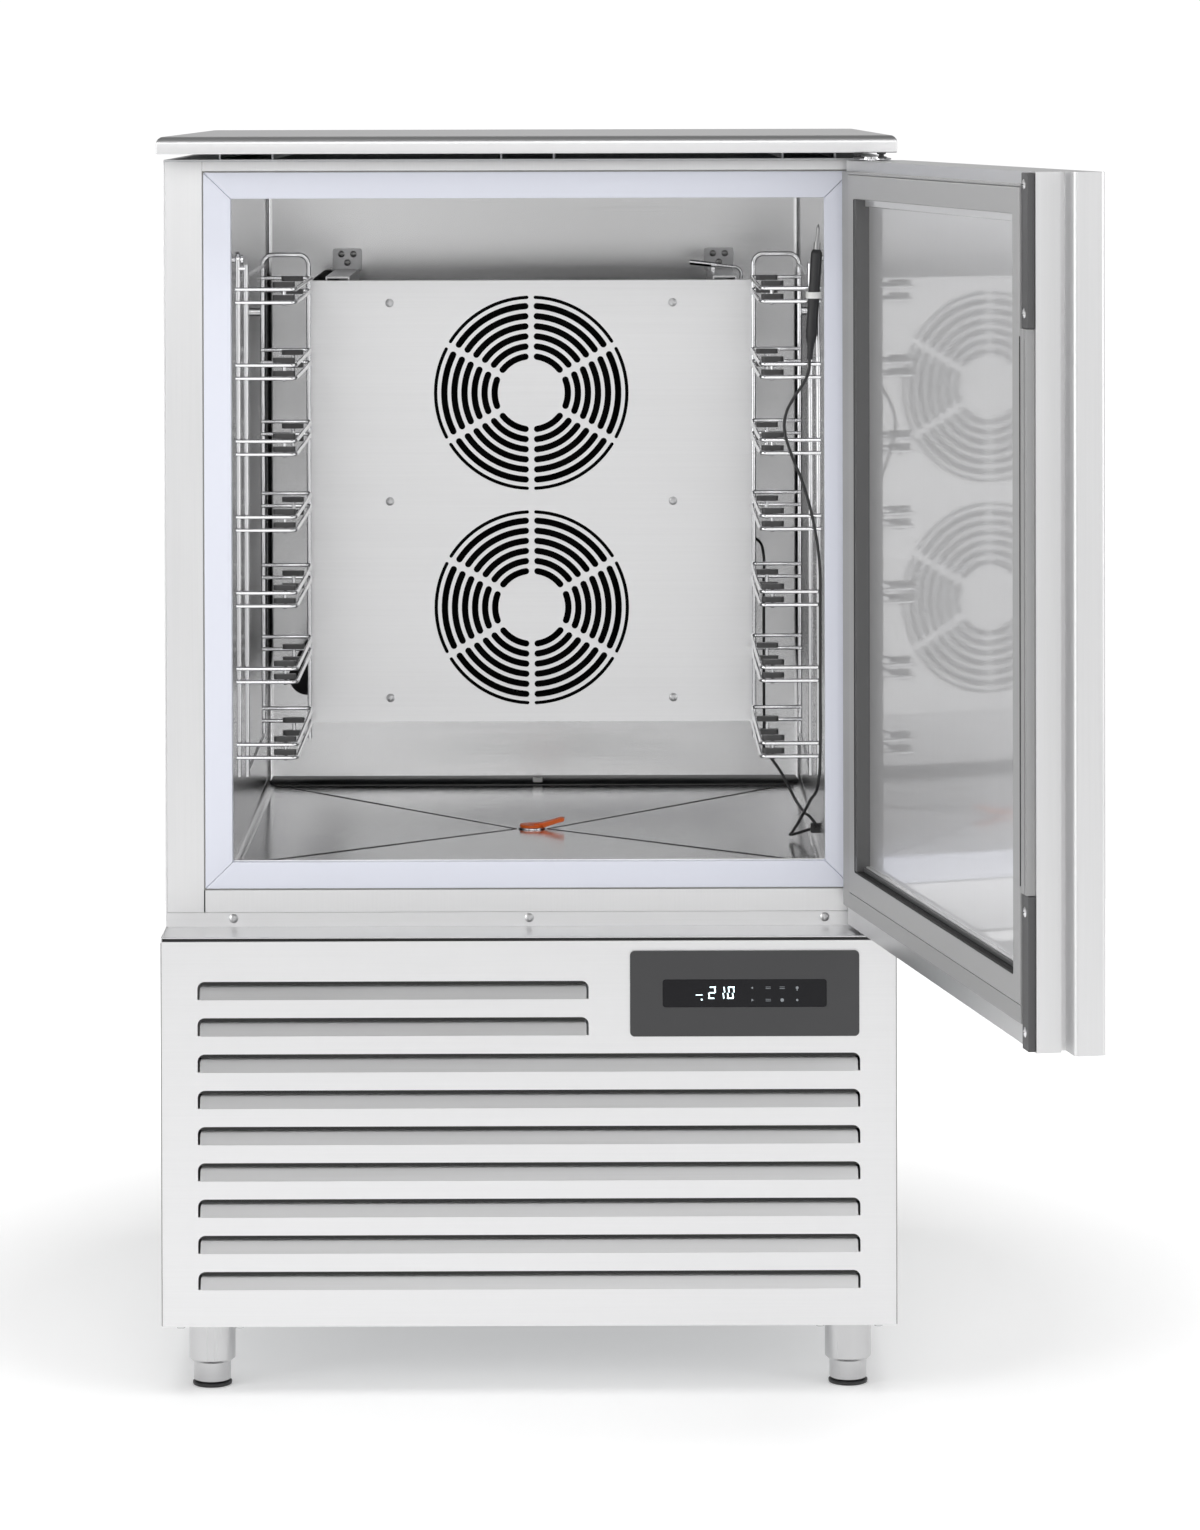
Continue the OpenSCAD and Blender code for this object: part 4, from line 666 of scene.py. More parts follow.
@dataclass(frozen=True)
class Dressing:
    """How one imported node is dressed: its finish, its edge rounding and its body."""

    node: str
    finish: Finish
    radius: float = 0.0
    body: Body = Body.CABINET
    segments: int = 2

    def apply(self) -> None:
        """Paints the node, or puts a copy with rounded edges in its place."""
        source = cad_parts[self.node]
        if not self.radius:
            source.data.materials.clear()
            source.data.materials.append(material(self.finish))
            LOG.info("%s: painted, %s", self.node, self.finish.name)
            return
        only(source)
        bpy.ops.object.duplicate()
        copy = bpy.context.object
        copy.name = self.node + "_dressed"
        with editing(copy):
            bpy.ops.mesh.remove_doubles(threshold=MERGE_REACH)
            bpy.ops.mesh.dissolve_limited(angle_limit=math.radians(FLAT_ANGLE))
            bpy.ops.mesh.quads_convert_to_tris(quad_method="BEAUTY", ngon_method="BEAUTY")
            bpy.ops.mesh.normals_make_consistent(inside=False)
        rounded(copy, self.radius, self.segments)
        Piece(copy, self.finish, self.body, (self.node,)).place()


DRESSINGS: tuple[Dressing, ...] = (
    Dressing("worktop", CASING, 0.0012),
    Dressing("roof_panel", SHEET),
    Dressing("side_panel_left", CASING_Y, 0.0006),
    Dressing("side_panel_right", CASING_Y, 0.0006),
    Dressing("back_panel", CASING),
    Dressing("front_fascia", CASING_UP, 0.0006),
    Dressing("machine_deck", CASING, 0.0006),
    Dressing("breaker_frame", FRAME, 0.0010),
    Dressing("insulation", FOAM),
    Dressing("liner_shell", LINER, 0.0012, segments=3),
    Dressing("liner_floor", FLOOR, 0.0012),
    Dressing("drain_fitting", BRIGHT, 0.0004),
    Dressing("evap_panel", COVER),
    # Fan plate and motors: black as painted shade behind the guards.
    Dressing("evap_fan_plate", FAN_BLACK_AND_SHADE),
    Dressing("evap_fan_motors", FAN_BLACK_AND_SHADE),
    Dressing("evap_fan_upper", FAN_BLACK_AND_SHADE),
    Dressing("evap_fan_lower", FAN_BLACK_AND_SHADE),
    # Evaporator coil: near black as painted shade behind the guards.
    Dressing("evap_coil", FINS_IN_SHADE),
    Dressing("evap_brackets", BRACKET, 0.0004),
    Dressing("drip_tray", SHEET),
    Dressing("pipe_insulation", SLEEVE),
    Dressing("temp_sensor", BRIGHT),
    Dressing("panel_screws", BRACKET),
    Dressing("bracket_rivets", RIVET),
    Dressing("rack_left", BRIGHT),
    Dressing("rack_right", BRIGHT),
    Dressing("rack_stops", PAD, 0.0008),
    Dressing("rack_studs", BRIGHT),
    Dressing("probe_spike", RIVET),
    Dressing("probe_handle", BLACK),
    Dressing("probe_relief", BLACK),
    Dressing("probe_clip", WHITE),
    Dressing("cord_clips", BLACK, 0.0006),
    Dressing("base_tray", SHEET),
    Dressing("front_panel", CASING),
    Dressing("control_bezel", BEZEL, 0.0005),
    Dressing("control_glass", GLASS),
    Dressing("compressor", POT),
    Dressing("condenser_coil", FINS),
    Dressing("condenser_shroud", SHEET),
    Dressing("condenser_motor", BLACK),
    Dressing("condenser_fan", FAN_BLACK_AND_SHADE),
    Dressing("refrigerant_pipes", COPPER),
    Dressing("electrical_box", WHITE, 0.0010),
    Dressing("foot_sleeves", LEGS, 0.0006),
    Dressing("hinge_brackets", BRIGHT, 0.0005),
    Dressing("drain_plug", ORANGE, 0.0010, Body.PLUG),
    Dressing("hinge_bushes", WHITE),
    Dressing("door_skin", CASING_UP, 0.0008, Body.DOOR),
    Dressing("door_core", FOAM),
    Dressing("door_liner", GLOWING_PAN, 0.0010, Body.DOOR, 3),
    Dressing("door_gasket", GASKET, 0.0015, Body.DOOR, 3),
    Dressing("door_trim", TRIM, 0.0008, Body.DOOR),
    Dressing("door_edge_plates", PLATE, 0.0008, Body.DOOR),
    Dressing("door_screws", BRIGHT),
)


# ---------------------------------------------------------------- small pieces


@dataclass(frozen=True)
class ChamberEdges:
    """Coved edges of the chamber, and the front lip, rear tab and painted-shade creases of its
    floor.
    """

    radius: float = 0.010
    corner_share: float = 0.7
    front: float = -0.3225
    top: float = 1.3045
    lip_gap: float = 0.001
    lip_depth: float = 0.002
    lip_height: float = 0.0052
    lip_round: float = 0.0007
    tab_left: float = -0.002
    tab_right: float = 0.010
    tab_gap: float = 0.001
    tab_lift: float = 0.0025
    tab_share: float = 0.85
    tab_round: float = 0.0015
    crease_radius: float = 0.00045
    crease_side: float = 0.003
    crease_front: float = 0.012
    crease_back: float = 0.004
    crease_lift: float = 0.0002
    drain_side: float = 0.018
    drain_y: float = 0.0
    drain_lift: float = 0.0006

    def build(self) -> None:
        """Makes the strips, the tab and the creases."""
        r, x, y, z = self.radius, WALL_X, WALL_Y, FLOOR_Z
        c = r * self.corner_share
        strips = [
            cove("edge", (-x, self.front, z), (-x + r, y, z + r), (1, 0, 1)),
            cove("edge", (x - r, self.front, z), (x, y, z + r), (-1, 0, 1)),
            cove("edge", (-x, y - c, z), (-x + c, y, self.top), (1, -1, 0)),
            cove("edge", (x - c, y - c, z), (x, y, self.top), (-1, -1, 0)),
        ]
        Piece(joined("chamber_edges", strips), LINER).place()
        Piece(cove("rear_edge", (-x, y - r, z), (x, y, z + r), (0, -1, 1)), SHADE).place()
        gap = self.lip_gap
        lip = box(
            "floor_lip",
            (-x + gap, self.front, z - gap),
            (x - gap, self.front + self.lip_depth, z + self.lip_height),
        )
        Piece(rounded(lip, self.lip_round), BRIGHT).place()
        tab = box(
            "floor_tab",
            (self.tab_left, y - r - self.tab_gap, z + self.tab_lift),
            (self.tab_right, y - self.tab_gap, z + r * self.tab_share),
        )
        Piece(rounded(tab, self.tab_round), WHITE).place()
        Piece(joined("floor_creases", self._creases()), CREASE_SHADE).place()

    def _creases(self) -> list[bpy.types.Object]:
        """Lays a crease from each corner of the floor to the drain.

        Returns:
            The four creases.
        """
        side = WALL_X - self.radius - self.crease_side
        ends = (self.front + self.crease_front, WALL_Y - self.radius - self.crease_back)
        creases = []
        for sign in (-1, 1):
            for y in ends:
                corner = (sign * side, y, FLOOR_Z + self.crease_lift)
                drain = (sign * self.drain_side, self.drain_y, FALL_Z + self.drain_lift)
                creases.append(rod("crease", corner, drain, self.crease_radius))
        return creases


@dataclass(frozen=True)
class DoorLines:
    """Dark rim of painted shade round the pan, and dark lines on the door's edge, drawn on the
    closed door.

    The rim's upright runs from inner to outer along X, from foot to lip along Y and from low to
    high. A sill strip of its own depth and height lies under the pan. The lines beside the gasket
    are black painted shade in the gap to the pan; they reach half their width to both sides and
    stand proud of the rim.
    """

    inner: float = 0.3162
    outer: float = 0.3256
    over: float = 0.0006
    low: float = 0.5725
    high: float = 1.3005
    base: float = -0.3491
    foot: float = -0.3536
    lip: float = -0.3386
    sill_depth: float = 0.0030
    sill_height: float = 0.0050
    rim_round: float = 0.0008
    half: float = 0.0010
    proud: float = 0.0004

    # Corners of the lines along the free edge, between its dark plates; Y counts from the base.
    EDGE_LINES = (
        ((-0.3532, 0.0020, 0.660), (-0.3518, 0.0108, 1.185)),
        ((-0.3680, 0.0060, 0.662), (-0.3650, 0.0093, 1.183)),
    )

    def build(self) -> None:
        """Makes the strips and turns them to where the door stands."""
        a, b, y = self.inner, self.outer, self.base
        rims = [
            box("rim", (a, self.foot, self.low), (b + self.over, self.lip, self.high + self.over)),
            box(
                "rim",
                (-b, self.foot, self.low - self.over),
                (a, y + self.sill_depth, self.low + self.sill_height),
            ),
        ]
        rim = open_door(joined("pan_rim_shade", rims))
        Piece(rounded(rim, self.rim_round), RIM_SHADE, Body.DOOR).place()
        top = self.lip + self.proud
        lines = [
            box("line", (b - self.half, y, self.low), (b + self.half, top, self.high)),
            box("line", (-b, y, self.low - self.half), (b, top, self.low + self.half)),
        ]
        for lo, hi in self.EDGE_LINES:
            lines.append(box("line", (lo[0], y + lo[1], lo[2]), (hi[0], y + hi[1], hi[2])))
        Piece(open_door(joined("door_lines", lines)), LINE, Body.DOOR).place()


@dataclass(frozen=True)
class PanelFoldShade:
    """Painted shade as thin dark strips on the folded outer edges of the lower front panel, and
    black painted shade in the gaps over it.
    """

    outer: float = 0.3999
    wide: float = 0.0010
    front: float = -0.4106
    back: float = -0.4092
    low: float = 0.0770
    high: float = 0.4945
    fold_round: float = 0.0003
    gap_side: float = 0.3978
    gap_front: float = -0.4084
    gap_back: float = -0.4060
    gap_low: float = 0.4957
    gap_high: float = 0.4985
    seam_x: float = 0.357
    seam_half: float = 0.0006
    seam_over: float = 0.0001
    seam_depth: float = 0.0010
    seam_low: float = 0.5165
    seam_high: float = 0.5403

    def build(self) -> None:
        """Makes the two dark fold strips, the gap under the deck and the gaps beside the strip over
        it, all painted shade.
        """
        folds = []
        for side in (-1, 1):
            near, far = sorted((side * self.outer, side * (self.outer - self.wide)))
            folds.append(box("fold", (near, self.front, self.low), (far, self.back, self.high)))
        Piece(rounded(joined("panel_fold_shade", folds), self.fold_round, 1), FOLD_SHADE).place()
        # Black strips of painted shade in the gap under the deck and in the seams beside the strip
        # over it.
        ends = (self.gap_side, self.gap_back, self.gap_high)
        gaps = [box("gap", (-self.gap_side, self.gap_front, self.gap_low), ends)]
        for side in (-1, 1):
            x = side * self.seam_x
            low = (x - self.seam_half, FACE_Y - self.seam_over, self.seam_low)
            gaps.append(box(
                "gap", low, (x + self.seam_half, FACE_Y + self.seam_depth, self.seam_high)
            ))
        Piece(joined("panel_gap_shade", gaps), LINE).place()


@dataclass(frozen=True)
class LouvreShadows:
    """Painted shadow: a black strip under the upper edge of each louvre's opening."""

    top: float = 0.4520
    pitch: float = 0.0395
    count: int = 9
    short: int = 2
    reach: float = 0.3595
    short_reach: float = 0.0645
    high: float = 0.0031
    sunk: float = 0.0003
    thick: float = 0.0005
    gap: float = 0.00005

    def build(self) -> None:
        """Makes one strip per louvre."""
        front = FRONT_Y + self.sunk
        strips = []
        for index in range(self.count):
            z = self.top - index * self.pitch
            end = self.short_reach if index < self.short else self.reach
            low = (-self.reach, front, z - self.high)
            strips.append(box("shadow", low, (end, front + self.thick, z - self.gap)))
        Piece(joined("louvre_shadows", strips), LINE).place()


@dataclass(frozen=True)
class HingeBolts:
    """Two bolts on the upper hinge plate, in the gap under the worktop."""

    xs: tuple[float, float] = (0.3615, 0.3865)
    y: float = -0.3790
    base: float = 1.3440
    sides: int = 24

    # A washer, a neck and a head.
    RINGS = (
        (0.0052, 0.0), (0.0058, 0.0006), (0.0058, 0.0022),
        (0.0028, 0.0028), (0.0028, 0.0046),
        (0.0048, 0.0050), (0.0048, 0.0066),
    )

    def build(self) -> None:
        """Turns the bolts."""
        bolts = [turned("bolt", (x, self.y, self.base), self.RINGS, self.sides) for x in self.xs]
        Piece(smooth(joined("hinge_bolts", bolts)), PLATE).place()


@dataclass(frozen=True)
class StopPins:
    """Bright pins through the tray stops of both racks."""

    x: float = 0.270
    ys: tuple[float, float] = (-0.291, -0.120)
    radius: float = 0.00215
    sides: int = 12

    # Share of the radius, and height over the tray level.
    RINGS = ((0.7, -0.0186), (1.0, -0.0178), (1.0, 0.0070), (0.7, 0.0078))

    def build(self) -> None:
        """Turns one pin per pair of stops."""
        pins = []
        for side in (-1, 1):
            for y in self.ys:
                for level in range(LEVELS):
                    z = TOP_LEVEL - level * LEVEL_PITCH
                    rings = [(self.radius * share, z + up) for share, up in self.RINGS]
                    pins.append(turned("pin", (side * self.x, y, 0.0), rings, self.sides))
        Piece(smooth(joined("stop_pins", pins)), BRIGHT).place()


@dataclass(frozen=True)
class Foot:
    """A sliding leg with its black moulded pad."""

    body: Body
    node: str
    side: int
    end: int
    x: float = 0.349
    y: float = 0.352
    radius: float = 0.0205
    sides: int = 64

    # What is added to the leg's radius, and height over the ground.
    TUBE = ((-0.0035, 0.0046), (-0.001, 0.0056), (0.0, 0.0075), (0.0, 0.0690), (-0.001, 0.0695))
    PAD = (
        (-0.0010, 0.0), (0.0006, 0.0006), (0.0010, 0.0020),
        (0.0010, 0.0036), (0.0, 0.0044), (-0.003, 0.0045),
    )

    def build(self) -> None:
        """Turns the leg and its pad."""
        Piece(self._turned("_tube", self.TUBE), LEGS, self.body, (self.node,)).place()
        Piece(self._turned("_pad", self.PAD), BLACK, self.body).place()

    def _turned(self, ending: str, rings: Sequence[Ring]) -> bpy.types.Object:
        """Turns one piece of the foot.

        Args:
            ending: What its name adds to the node's.
            rings: What each ring adds to the leg's radius, and its height.

        Returns:
            The piece, shaded smooth.
        """
        at = (self.side * self.x, self.end * self.y, 0.0)
        sized = [(self.radius + more, up) for more, up in rings]
        return smooth(turned(self.node + ending, at, sized, self.sides))


FEET: tuple[Foot, ...] = (
    Foot(Body.LEG_FL, "foot_front_left", -1, -1),
    Foot(Body.LEG_FR, "foot_front_right", 1, -1),
    Foot(Body.LEG_RL, "foot_rear_left", -1, 1),
    Foot(Body.LEG_RR, "foot_rear_right", 1, 1),
)


class ProbeCord:
    """Cord of the core probe, from the evaporator's grommet to the probe."""

    # From the probe's strain relief, over the loop on the floor, back to the grommet.
    ROUTE: tuple[Point, ...] = (
        (0.3109, -0.3098, 1.1212), (0.310, -0.3098, 1.109), (0.305, -0.310, 1.097),
        (0.294, -0.308, 1.080), (0.285, -0.307, 1.062), (0.283, -0.307, 1.045),
        (0.290, -0.308, 1.018), (0.303, -0.310, 0.985), (0.314, -0.310, 0.945),
        (0.321, -0.310, 0.900), (0.322, -0.310, 0.840), (0.322, -0.309, 0.760),
        (0.322, -0.307, 0.690), (0.320, -0.296, 0.650), (0.313, -0.250, 0.625),
        (0.303, -0.190, 0.593), (0.297, -0.150, 0.575), (0.297, -0.137, 0.571),
        (0.304, -0.140, 0.573), (0.314, -0.158, 0.579), (0.321, -0.176, 0.584),
        (0.322, -0.190, 0.590), (0.318, -0.192, 0.596), (0.311, -0.170, 0.600),
        (0.304, -0.130, 0.606), (0.297, -0.085, 0.616), (0.289, -0.045, 0.629),
        (0.278, -0.008, 0.642), (0.272, 0.020, 0.648), (0.272, 0.045, 0.656),
        (0.273, 0.062, 0.675), (0.273, 0.066, 0.710), (0.273, 0.066, 0.780),
        (0.273, 0.067, 0.840), (0.273, 0.074, 0.872), (0.268, 0.086, 0.886),
        (0.258, 0.092, 0.890), (0.248, 0.092, 0.890), (0.229, 0.092, 0.890),
    )
    LENGTH = 1.28
    DIAMETER = 0.0034
    SIDES = 3
    STEPS = 6
    PROBE = ("probe_relief", "probe_handle", "probe_spike")

    def build(self) -> None:
        """Lays the cord along its route."""
        route = self.ROUTE[::-1]
        cord = swept("probe_cord_line", route, self.DIAMETER / 2, self.SIDES, self.STEPS)
        cord.data.materials.append(material(CORD))
        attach(cord, Body.CABINET.value)
        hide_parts("probe_cord")
        LOG.info("probe cord: %.2f m", self.LENGTH)


@dataclass(frozen=True)
class ControlDisplay:
    """Lit digits and faint key marks on the face of the control glass."""

    left: float = 0.1948
    base: float = 0.4324
    height: float = 0.0132
    width: float = 0.0066
    pitch: float = 0.0102
    stroke: float = 0.0012
    slant: float = math.radians(8.0)
    front: float = -0.41245
    deep: float = 0.0001
    rows: tuple[float, float] = (0.4308, 0.4442)
    columns: tuple[float, float, float, float] = (0.2427, 0.2600, 0.2752, 0.2915)

    SHOWN = (2, 1, 0)
    SEGMENTS = {0: "abcdef", 1: "bc", 2: "abged"}
    # Left end, height and length of the minus, and the share of a stroke that it is thick.
    MINUS = (0.1814, 0.4366, 0.0072)
    MINUS_SHARE = 0.7
    # Place, radius and sides of the point.
    POINT = (0.1878, 0.4316, 0.0010, 12)
    # Column, row, radius, sides and turn of each round or pointed mark.
    ROUND_MARKS = (
        (0, 1, 0.0016, 3, -90.0),
        (0, 0, 0.0016, 3, 90.0),
        (3, 1, 0.0016, 10, 0.0),
        (2, 0, 0.0019, 14, 0.0),
        (3, 0, 0.0014, 6, 0.0),
    )
    # Column, row, shift along X and Z, width and height of each bar: a lamp's foot and pairs.
    BAR_MARKS = (
        (3, 1, -0.0006, -0.0024, 0.0012, 0.0014),
        (1, 1, -0.0028, 0.0009, 0.0056, 0.0005),
        (1, 1, -0.0028, -0.0009, 0.0056, 0.0005),
        (1, 0, -0.0028, 0.0009, 0.0056, 0.0005),
        (1, 0, -0.0028, -0.0009, 0.0056, 0.0005),
        (2, 1, -0.0028, 0.0009, 0.0056, 0.0005),
        (2, 1, -0.0028, -0.0009, 0.0056, 0.0005),
    )

    def build(self) -> None:
        """Makes the digits, the minus, the point and the key marks."""
        bars: list[bpy.types.Object] = []
        for place, digit in enumerate(self.SHOWN):
            bars += self._digit(digit, self.left + place * self.pitch)
        bars.append(self._bar(*self.MINUS, self.stroke * self.MINUS_SHARE))
        bars.append(self._mark(*self.POINT))
        Piece(joined("display_digits", bars), DIGIT).place()
        marks = []
        for column, row, radius, sides, turn in self.ROUND_MARKS:
            x, z = self.columns[column], self.rows[row]
            marks.append(self._mark(x, z, radius, sides, math.radians(turn)))
        for column, row, right, up, wide, high in self.BAR_MARKS:
            marks.append(self._bar(self.columns[column] + right, self.rows[row] + up, wide, high))
        Piece(joined("key_marks", marks), ICON).place()

    def _mark(
        self, x: float, z: float, radius: float, sides: int, turn: float = 0.0
    ) -> bpy.types.Object:
        """Adds one flat round or pointed mark.

        Args:
            x: Middle along X.
            z: Middle height.
            radius: Radius of its corners.
            sides: Number of sides.
            turn: Turn in the glass's plane.

        Returns:
            The mark.
        """
        bpy.ops.object.select_all(action="DESELECT")
        bpy.ops.mesh.primitive_cylinder_add(
            vertices=sides, radius=radius, depth=self.deep,
            location=(x, self.front + self.deep / 2, z), rotation=(math.pi / 2, turn, 0.0),
        )
        return settle(bpy.context.object)

    def _bar(
        self, x: float, z: float, wide: float, high: float, lean: float = 0.0
    ) -> bpy.types.Object:
        """Adds one flat bar.

        Args:
            x: Left end.
            z: Middle height.
            wide: Length along X.
            high: Length along Z.
            lean: Lean to the right.

        Returns:
            The bar.
        """
        low = (x, self.front, z - high / 2)
        bar = box("bar", low, (x + wide, self.front + self.deep, z + high / 2))
        if lean:
            middle = (x + wide / 2, 0.0, z)
            with editing(bar):
                bpy.ops.transform.rotate(value=lean, orient_axis="Y", center_override=middle)
        return bar

    def _digit(self, digit: int, left: float) -> list[bpy.types.Object]:
        """Adds the lit segments of one digit.

        Args:
            digit: The digit.
            left: Left end of its base.

        Returns:
            The segments.
        """
        w, h, t = self.width, self.height, self.stroke
        upper, lower = h * 0.75, h * 0.25
        level = {"a": h - t / 2, "g": h / 2, "d": t / 2}
        upright = {"b": (w - t, upper), "c": (w - t, lower), "f": (0.0, upper), "e": (0.0, lower)}
        lean = math.tan(self.slant)
        bars = []
        for name in self.SEGMENTS[digit]:
            if name in level:
                z = level[name]
                bars.append(self._bar(left + z * lean, self.base + z, w, t))
            else:
                x, z = upright[name]
                at = left + x + z * lean
                bars.append(self._bar(at, self.base + z, t, h / 2 - t / 2, self.slant))
        return bars


# ---------------------------------------------------------------- studio


class Studio:
    """Camera, world, floor, cards and lights."""

    # Place and brightness of each stop: first from left to right, then from below upwards.
    ACROSS = (
        (0.0, 0.75), (0.2, 0.95), (0.42, 0.82), (0.5, 0.95), (0.6, 0.85), (0.8, 0.95), (1.0, 0.7),
    )
    UPWARD = ((0.0, 0.9), (0.5, 1.0), (0.59, 0.92), (0.69, 0.45), (0.86, 0.25), (1.0, 0.2))
    BACKDROP = 1.05

    FLOOR_SIZE = (14.0, 11.0, 1.0)
    FLOOR_MIDDLE = (0.0, -2.5, 0.0)
    FLOOR_COLOUR = (0.88, 0.88, 0.88, 1.0)
    # Glow that the camera sees: distances where it starts and stops to grow, dim and bright.
    FLOOR_GLOW = {"From Min": 0.6, "From Max": 1.35, "To Min": 0.24, "To Max": 0.70}
    MIRRORED_GLOW = 0.30

    CARD_COLOUR = (0.03, 0.03, 0.03, 1.0)
    CARDS = (
        ("low_card", (-0.24, -6.8, 0.001), (0.20, -3.2, 0.003)),
        ("high_card", (-0.25, -4.61, 1.14), (0.60, -4.60, 1.95)),
    )

    # Name, place, aim, width, height and watts.
    LIGHTS = (
        ("top", (0.0, -0.8, 4.2), (0.0, 0.0, 0.6), 3.6, 3.0, 95.0),
        ("left", (-3.6, -2.6, 2.0), (0.0, 0.0, 0.8), 2.2, 3.0, 46.0),
        ("right", (3.8, -2.4, 2.2), (0.0, 0.0, 0.8), 2.2, 3.0, 42.0),
        ("front", (0.0, -5.2, 2.8), (0.0, 0.0, 0.9), 2.6, 1.6, 35.0),
    )

    CAMERA_PLACE = (0.0573, -6.014, 1.4265)
    CAMERA_TURN = (math.pi / 2 - 0.0137, 0.0024, -0.004)
    SENSOR_WIDTH = 36.0
    LENS = 121.65
    SHIFT_Y = -0.399
    CLIP_END = 200.0

    def build(self) -> None:
        """Adds everything round the object but the camera."""
        self._world()
        self._floor()
        self._cards()
        self._lights()

    def camera(self) -> None:
        """Adds the camera where the photograph was taken from."""
        bpy.ops.object.camera_add(location=self.CAMERA_PLACE, rotation=self.CAMERA_TURN)
        camera = bpy.context.object
        camera.data.sensor_width = self.SENSOR_WIDTH
        camera.data.lens = self.LENS
        camera.data.shift_y = self.SHIFT_Y
        camera.data.clip_end = self.CLIP_END
        bpy.context.scene.camera = camera

    def _world(self) -> None:
        """Adds a white backdrop for the camera and a soft studio for what the steel mirrors."""
        world = bpy.data.worlds.new("studio")
        bpy.context.scene.world = world
        tree = Tree(world)
        studio = tree.nodes["Background"]
        coords = tree.add("TexCoord")
        split = tree.add("SeparateXYZ")
        tree.link(coords.outputs["Generated"], split.inputs["Vector"])
        across = self._ramp(tree, split.outputs["X"], self.ACROSS)
        upward = self._ramp(tree, split.outputs["Z"], self.UPWARD)
        both = tree.add("VectorMath", operation="MULTIPLY")
        tree.link(across.outputs["Color"], both.inputs[0])
        tree.link(upward.outputs["Color"], both.inputs[1])
        tree.link(both.outputs["Vector"], studio.inputs["Color"])
        put(studio, {"Strength": 1.0})
        white = tree.add("Background", {"Color": (1.0, 1.0, 1.0, 1.0), "Strength": self.BACKDROP})
        path = tree.add("LightPath")
        mix = tree.add("MixShader")
        tree.link(path.outputs["Is Camera Ray"], mix.inputs["Fac"])
        tree.link(studio.outputs["Background"], mix.inputs[1])
        tree.link(white.outputs["Background"], mix.inputs[2])
        tree.link(mix.outputs["Shader"], tree.nodes["World Output"].inputs["Surface"])

    @staticmethod
    def _ramp(
        tree: Tree, source: bpy.types.NodeSocket, stops: Sequence[tuple[float, float]]
    ) -> bpy.types.Node:
        """Adds a grey ramp over a direction's part between -1 and 1.

        Args:
            tree: Node tree of the world.
            source: Socket that gives the direction's part.
            stops: Place and brightness of each stop.

        Returns:
            The ramp node.
        """
        ramp = tree.add("ValToRGB")
        bar = ramp.color_ramp
        while len(bar.elements) < len(stops):
            bar.elements.new(0.5)
        for element, (place, value) in zip(bar.elements, stops):
            element.position = place
            element.color = (value, value, value, 1.0)
        shift = tree.add("MapRange", {"From Min": -1.0, "From Max": 1.0})
        tree.link(source, shift.inputs["Value"])
        tree.link(shift.outputs["Result"], ramp.inputs["Fac"])
        return ramp

    def _floor(self) -> None:
        """Adds a wide pale floor, whose glow grows with the distance from the object."""
        bpy.ops.object.select_all(action="DESELECT")
        bpy.ops.mesh.primitive_plane_add(size=1.0, location=self.FLOOR_MIDDLE)
        floor = bpy.context.object
        floor.name = "floor"
        floor.scale = self.FLOOR_SIZE
        settle(floor)
        mat = bpy.data.materials.new("floor_white")
        tree = Tree(mat)
        shader = tree.nodes["Principled BSDF"]
        put(shader, {"Base Color": self.FLOOR_COLOUR, "Roughness": 1.0, "Specular IOR Level": 0.0})
        coords = tree.add("TexCoord")
        reach = tree.add("VectorMath", operation="LENGTH")
        glow = tree.add("MapRange", self.FLOOR_GLOW)
        seen = tree.add("Emission")
        tree.link(coords.outputs["Object"], reach.inputs[0])
        tree.link(reach.outputs["Value"], glow.inputs["Value"])
        tree.link(glow.outputs["Result"], seen.inputs["Strength"])
        path = tree.add("LightPath")
        share = tree.add("Math", {1: self.MIRRORED_GLOW}, operation="MULTIPLY")
        mirrored = tree.add("Emission")
        tree.link(path.outputs["Is Glossy Ray"], share.inputs[0])
        tree.link(share.outputs["Value"], mirrored.inputs["Strength"])
        pick = tree.add("MixShader")
        tree.link(path.outputs["Is Camera Ray"], pick.inputs["Fac"])
        tree.link(mirrored.outputs["Emission"], pick.inputs[1])
        tree.link(seen.outputs["Emission"], pick.inputs[2])
        total = tree.add("AddShader")
        tree.link(shader.outputs["BSDF"], total.inputs[0])
        tree.link(pick.outputs["Shader"], total.inputs[1])
        tree.link(total.outputs["Shader"], tree.nodes["Material Output"].inputs["Surface"])
        floor.data.materials.append(mat)

    def _cards(self) -> None:
        """Adds two dark cards that are seen only as mirrored by the steel."""
        mat = bpy.data.materials.new("card_black")
        shader = Tree(mat).nodes["Principled BSDF"]
        put(shader, {"Base Color": self.CARD_COLOUR, "Roughness": 1.0})
        for name, lo, hi in self.CARDS:
            card = box(name, lo, hi)
            card.data.materials.append(mat)
            card.visible_camera = False
            card.visible_diffuse = False
            card.visible_shadow = False

    def _lights(self) -> None:
        """Adds the soft lights: above, from both sides and from the front."""
        for name, place, aim, wide, high, watts in self.LIGHTS:
            bpy.ops.object.light_add(type="AREA", location=place)
            lamp = bpy.context.object
            lamp.name = name + "_light"
            lamp.data.shape = "RECTANGLE"
            lamp.data.size = wide
            lamp.data.size_y = high
            lamp.data.energy = watts
            lamp.visible_glossy = name != "top"
            lamp.rotation_euler = (Vector(aim) - Vector(place)).to_track_quat("-Z", "Y").to_euler()


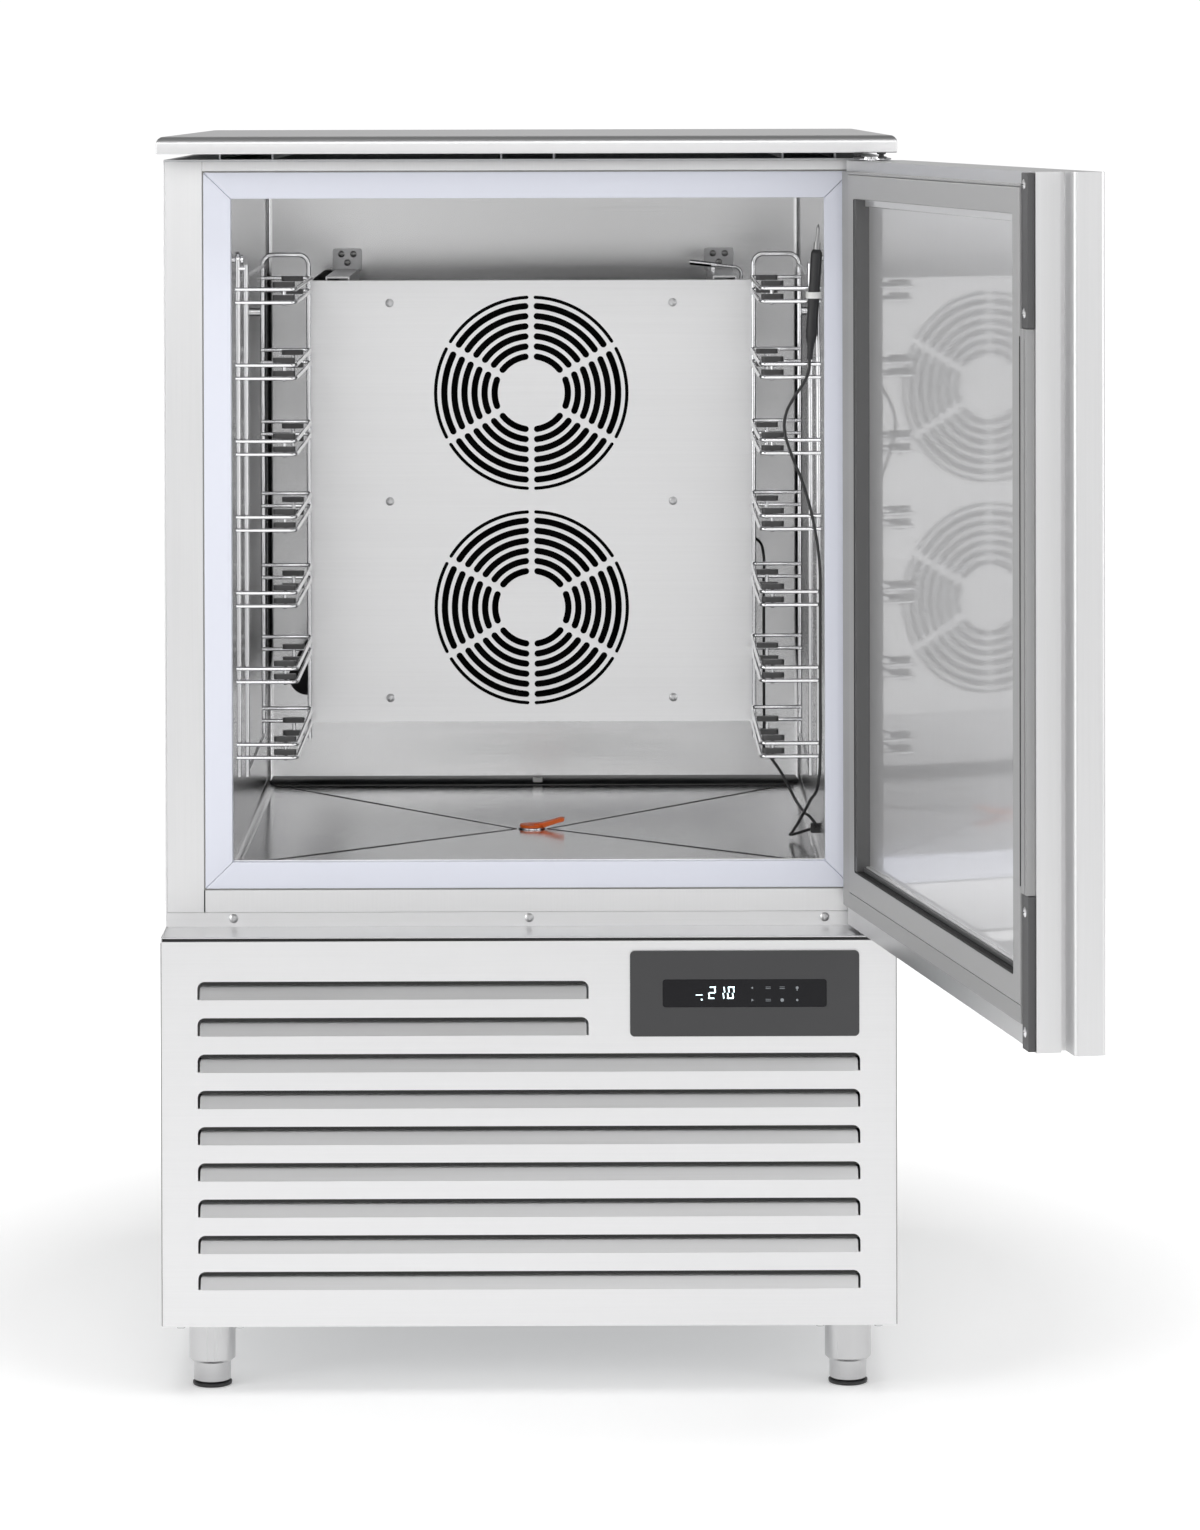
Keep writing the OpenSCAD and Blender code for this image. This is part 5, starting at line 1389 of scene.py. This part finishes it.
def main() -> None:
    """Builds the whole scene."""
    bpy.context.scene.view_settings.view_transform = "Standard"
    studio = Studio()
    studio.camera()
    ProbeCord().build()
    for dressing in DRESSINGS:
        dressing.apply()
    ChamberEdges().build()
    DoorLines().build()
    PanelFoldShade().build()
    LouvreShadows().build()
    HingeBolts().build()
    ControlDisplay().build()
    StopPins().build()
    for foot in FEET:
        foot.build()
    studio.build()


if __name__ == "__main__":
    main()
